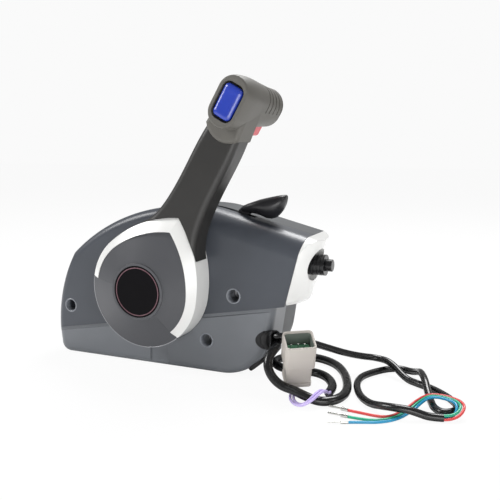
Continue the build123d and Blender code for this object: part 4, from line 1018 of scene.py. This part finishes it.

# %% [markdown]
# The connector is a sealed six-way housing. Its body is narrower than the shroud above it,
# a groove parts the foot collar from the body, and the shroud is a thin wall round a cavity
# lined with a dark grey-green sheet of painted shade. The contacts stand on a pale green wedge deep
# inside. The housing is made from stacked rounded rectangles that go up outside and come down
# inside.

# %% Connector
foot = (147.0, -76.0, -73.3)
plug_place = frame_of(foot, (0.86, 0.51, 0.0), (0.18, -0.37, 0.91))


def housing_ring(width, depth, corner, along):
    """One rounded ring of the connector at a height above its foot."""
    return [plug_place(x, y, along) for x, y in rounded_ring(width, depth, corner)]


housing_steps = [
    (21.5, 18.8, 2.5, 0.0),
    (23.6, 20.8, 3.0, 0.6),
    (23.6, 20.8, 3.0, 4.6),
    (21.6, 18.8, 2.6, 5.0),
    (21.6, 18.8, 2.6, 6.0),
    (22.6, 19.8, 3.0, 6.4),
    (23.2, 20.4, 3.0, 21.4),
    (27.0, 24.0, 3.8, 23.0),
    (27.0, 24.0, 3.8, 46.4),
    (26.4, 23.4, 3.6, 47.0),
    (24.2, 21.2, 2.8, 47.0),
    (23.4, 20.4, 2.6, 46.2),
    (23.4, 20.4, 2.6, 24.5),
]
housing = skin(
    "connector_housing", [housing_ring(*step) for step in housing_steps], "casing", "connector_grey"
)
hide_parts("connector_shell")
# The liner is a dark grey-green sheet inside the shroud: painted shade of the deep cavity.
shade_liner_steps = [
    (23.3, 20.3, 2.6, 24.6),
    (23.3, 20.3, 2.6, 45.2),
    (22.7, 19.7, 2.4, 45.2),
    (22.7, 19.7, 2.4, 24.6),
]
finishes["painted_shade_liner"] = moulded_plastic(
    "cavity_painted_shade_grey", "68706a", "767e77", (0.5, 0.62), 0.7, 0.02, ior=1.42
)
shade_liner_rings = [housing_ring(*step) for step in shade_liner_steps]
painted_shade_liner = skin(
    "connector_painted_shade_liner", shade_liner_rings, "casing", "painted_shade_liner", closed_round=True
)
wedge_steps = [(22.2, 19.2, 2.2, 24.7), (22.2, 19.2, 2.2, 32.6), (21.4, 18.4, 2.0, 33.2)]
wedge_rings = [housing_ring(*step) for step in wedge_steps]
wedge = skin("contact_wedge", wedge_rings, "casing", "wedge_green")
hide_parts("connector_wedge")
print("connector housing:", len(housing.data.polygons), "faces")

# %% [markdown]
# The number of leads made above is printed.

print("leads:", len(lead_names))

# %% [markdown]
# The object stands on a wide pale floor in an even white room. The floor is part of the
# stage and not of the object. It is almost white, and camera rays see it partly lit from
# within, so that it fades into the background and still keeps a soft shadow.

# %% Floor and room
floor_z = FLOOR * MM
floor_mesh = bpy.data.meshes.new("floor")
reach = 6.0
floor_corners = [(-reach, -reach), (reach, -reach), (reach, reach), (-reach, reach)]
floor_mesh.from_pydata([(x, y, floor_z) for x, y in floor_corners], [], [(0, 1, 2, 3)])
floor = bpy.data.objects.new("floor", floor_mesh)
bpy.context.scene.collection.objects.link(floor)
floor_paint, tree = empty_material("floor_pale_paint")
ray = add_node(tree, "ShaderNodeLightPath")
paint = add_node(
    tree, "ShaderNodeBsdfPrincipled", {"Base Color": linear("f4f4f4"), "Roughness": 0.7}
)
glow = add_node(tree, "ShaderNodeEmission", {"Color": linear("ffffff"), "Strength": 1.0})
share = add_node(
    tree,
    "ShaderNodeMapRange",
    {"To Min": 0.0, "To Max": 0.93},
    {"Value": (ray, "Is Camera Ray")},
)
blend = add_node(
    tree,
    "ShaderNodeMixShader",
    links={0: (share, "Result"), 1: (paint, "BSDF"), 2: (glow, "Emission")},
)
add_node(tree, "ShaderNodeOutputMaterial", links={"Surface": (blend, "Shader")})
floor_mesh.materials.append(floor_paint)

world = bpy.data.worlds.new("room")
bpy.context.scene.world = world
world.use_nodes = True
world.node_tree.nodes.clear()
room_ray = add_node(world.node_tree, "ShaderNodeLightPath")
seen = add_node(
    world.node_tree,
    "ShaderNodeMath",
    links={0: (room_ray, "Is Camera Ray"), 1: (room_ray, "Is Transmission Ray")},
    operation="MAXIMUM",
)
dim = add_node(
    world.node_tree, "ShaderNodeBackground", {"Color": linear("ffffff"), "Strength": 0.3}
)
white = add_node(
    world.node_tree, "ShaderNodeBackground", {"Color": linear("fafafa"), "Strength": 1.0}
)
room = add_node(
    world.node_tree,
    "ShaderNodeMixShader",
    links={0: (seen, "Value"), 1: (dim, "Background"), 2: (white, "Background")},
)
add_node(world.node_tree, "ShaderNodeOutputWorld", links={"Surface": (room, "Shader")})

# %% [markdown]
# Four soft boxes light the object. A large one stands in front, above and to the left. A
# weaker one on the right draws the edge of the lever, and one overhead brightens the top of
# the case and the grip. A white card lies low in front on the right and lifts the lower
# covers, as a pale table would; from there it isn't mirrored in the satin paint. Each is
# aimed by building its rotation from the direction to the object.

# %% Lamps
target = Vector((0.03, -0.06, 0.03))
lamps = {
    "key": ((-1.25, -0.8, 1.0), 0.7, 18.5),
    "side": ((1.5, -0.35, 0.7), 0.6, 2.4),
    "overhead": ((0.15, 0.6, 1.2), 0.7, 21.0),
    "card": ((0.3, -0.42, -0.09), 0.3, 1.3),
}
for name, (place, width, power) in lamps.items():
    lamp_data = bpy.data.lights.new(name, "AREA")
    lamp_data.shape = "SQUARE"
    lamp_data.size = width
    lamp_data.energy = power
    lamp = bpy.data.objects.new(name, lamp_data)
    lamp.location = place
    lamp.rotation_euler = (target - Vector(place)).to_track_quat("-Z", "Y").to_euler()
    lamp.visible_camera = False
    bpy.context.scene.collection.objects.link(lamp)
bpy.context.scene.view_settings.view_transform = "Standard"
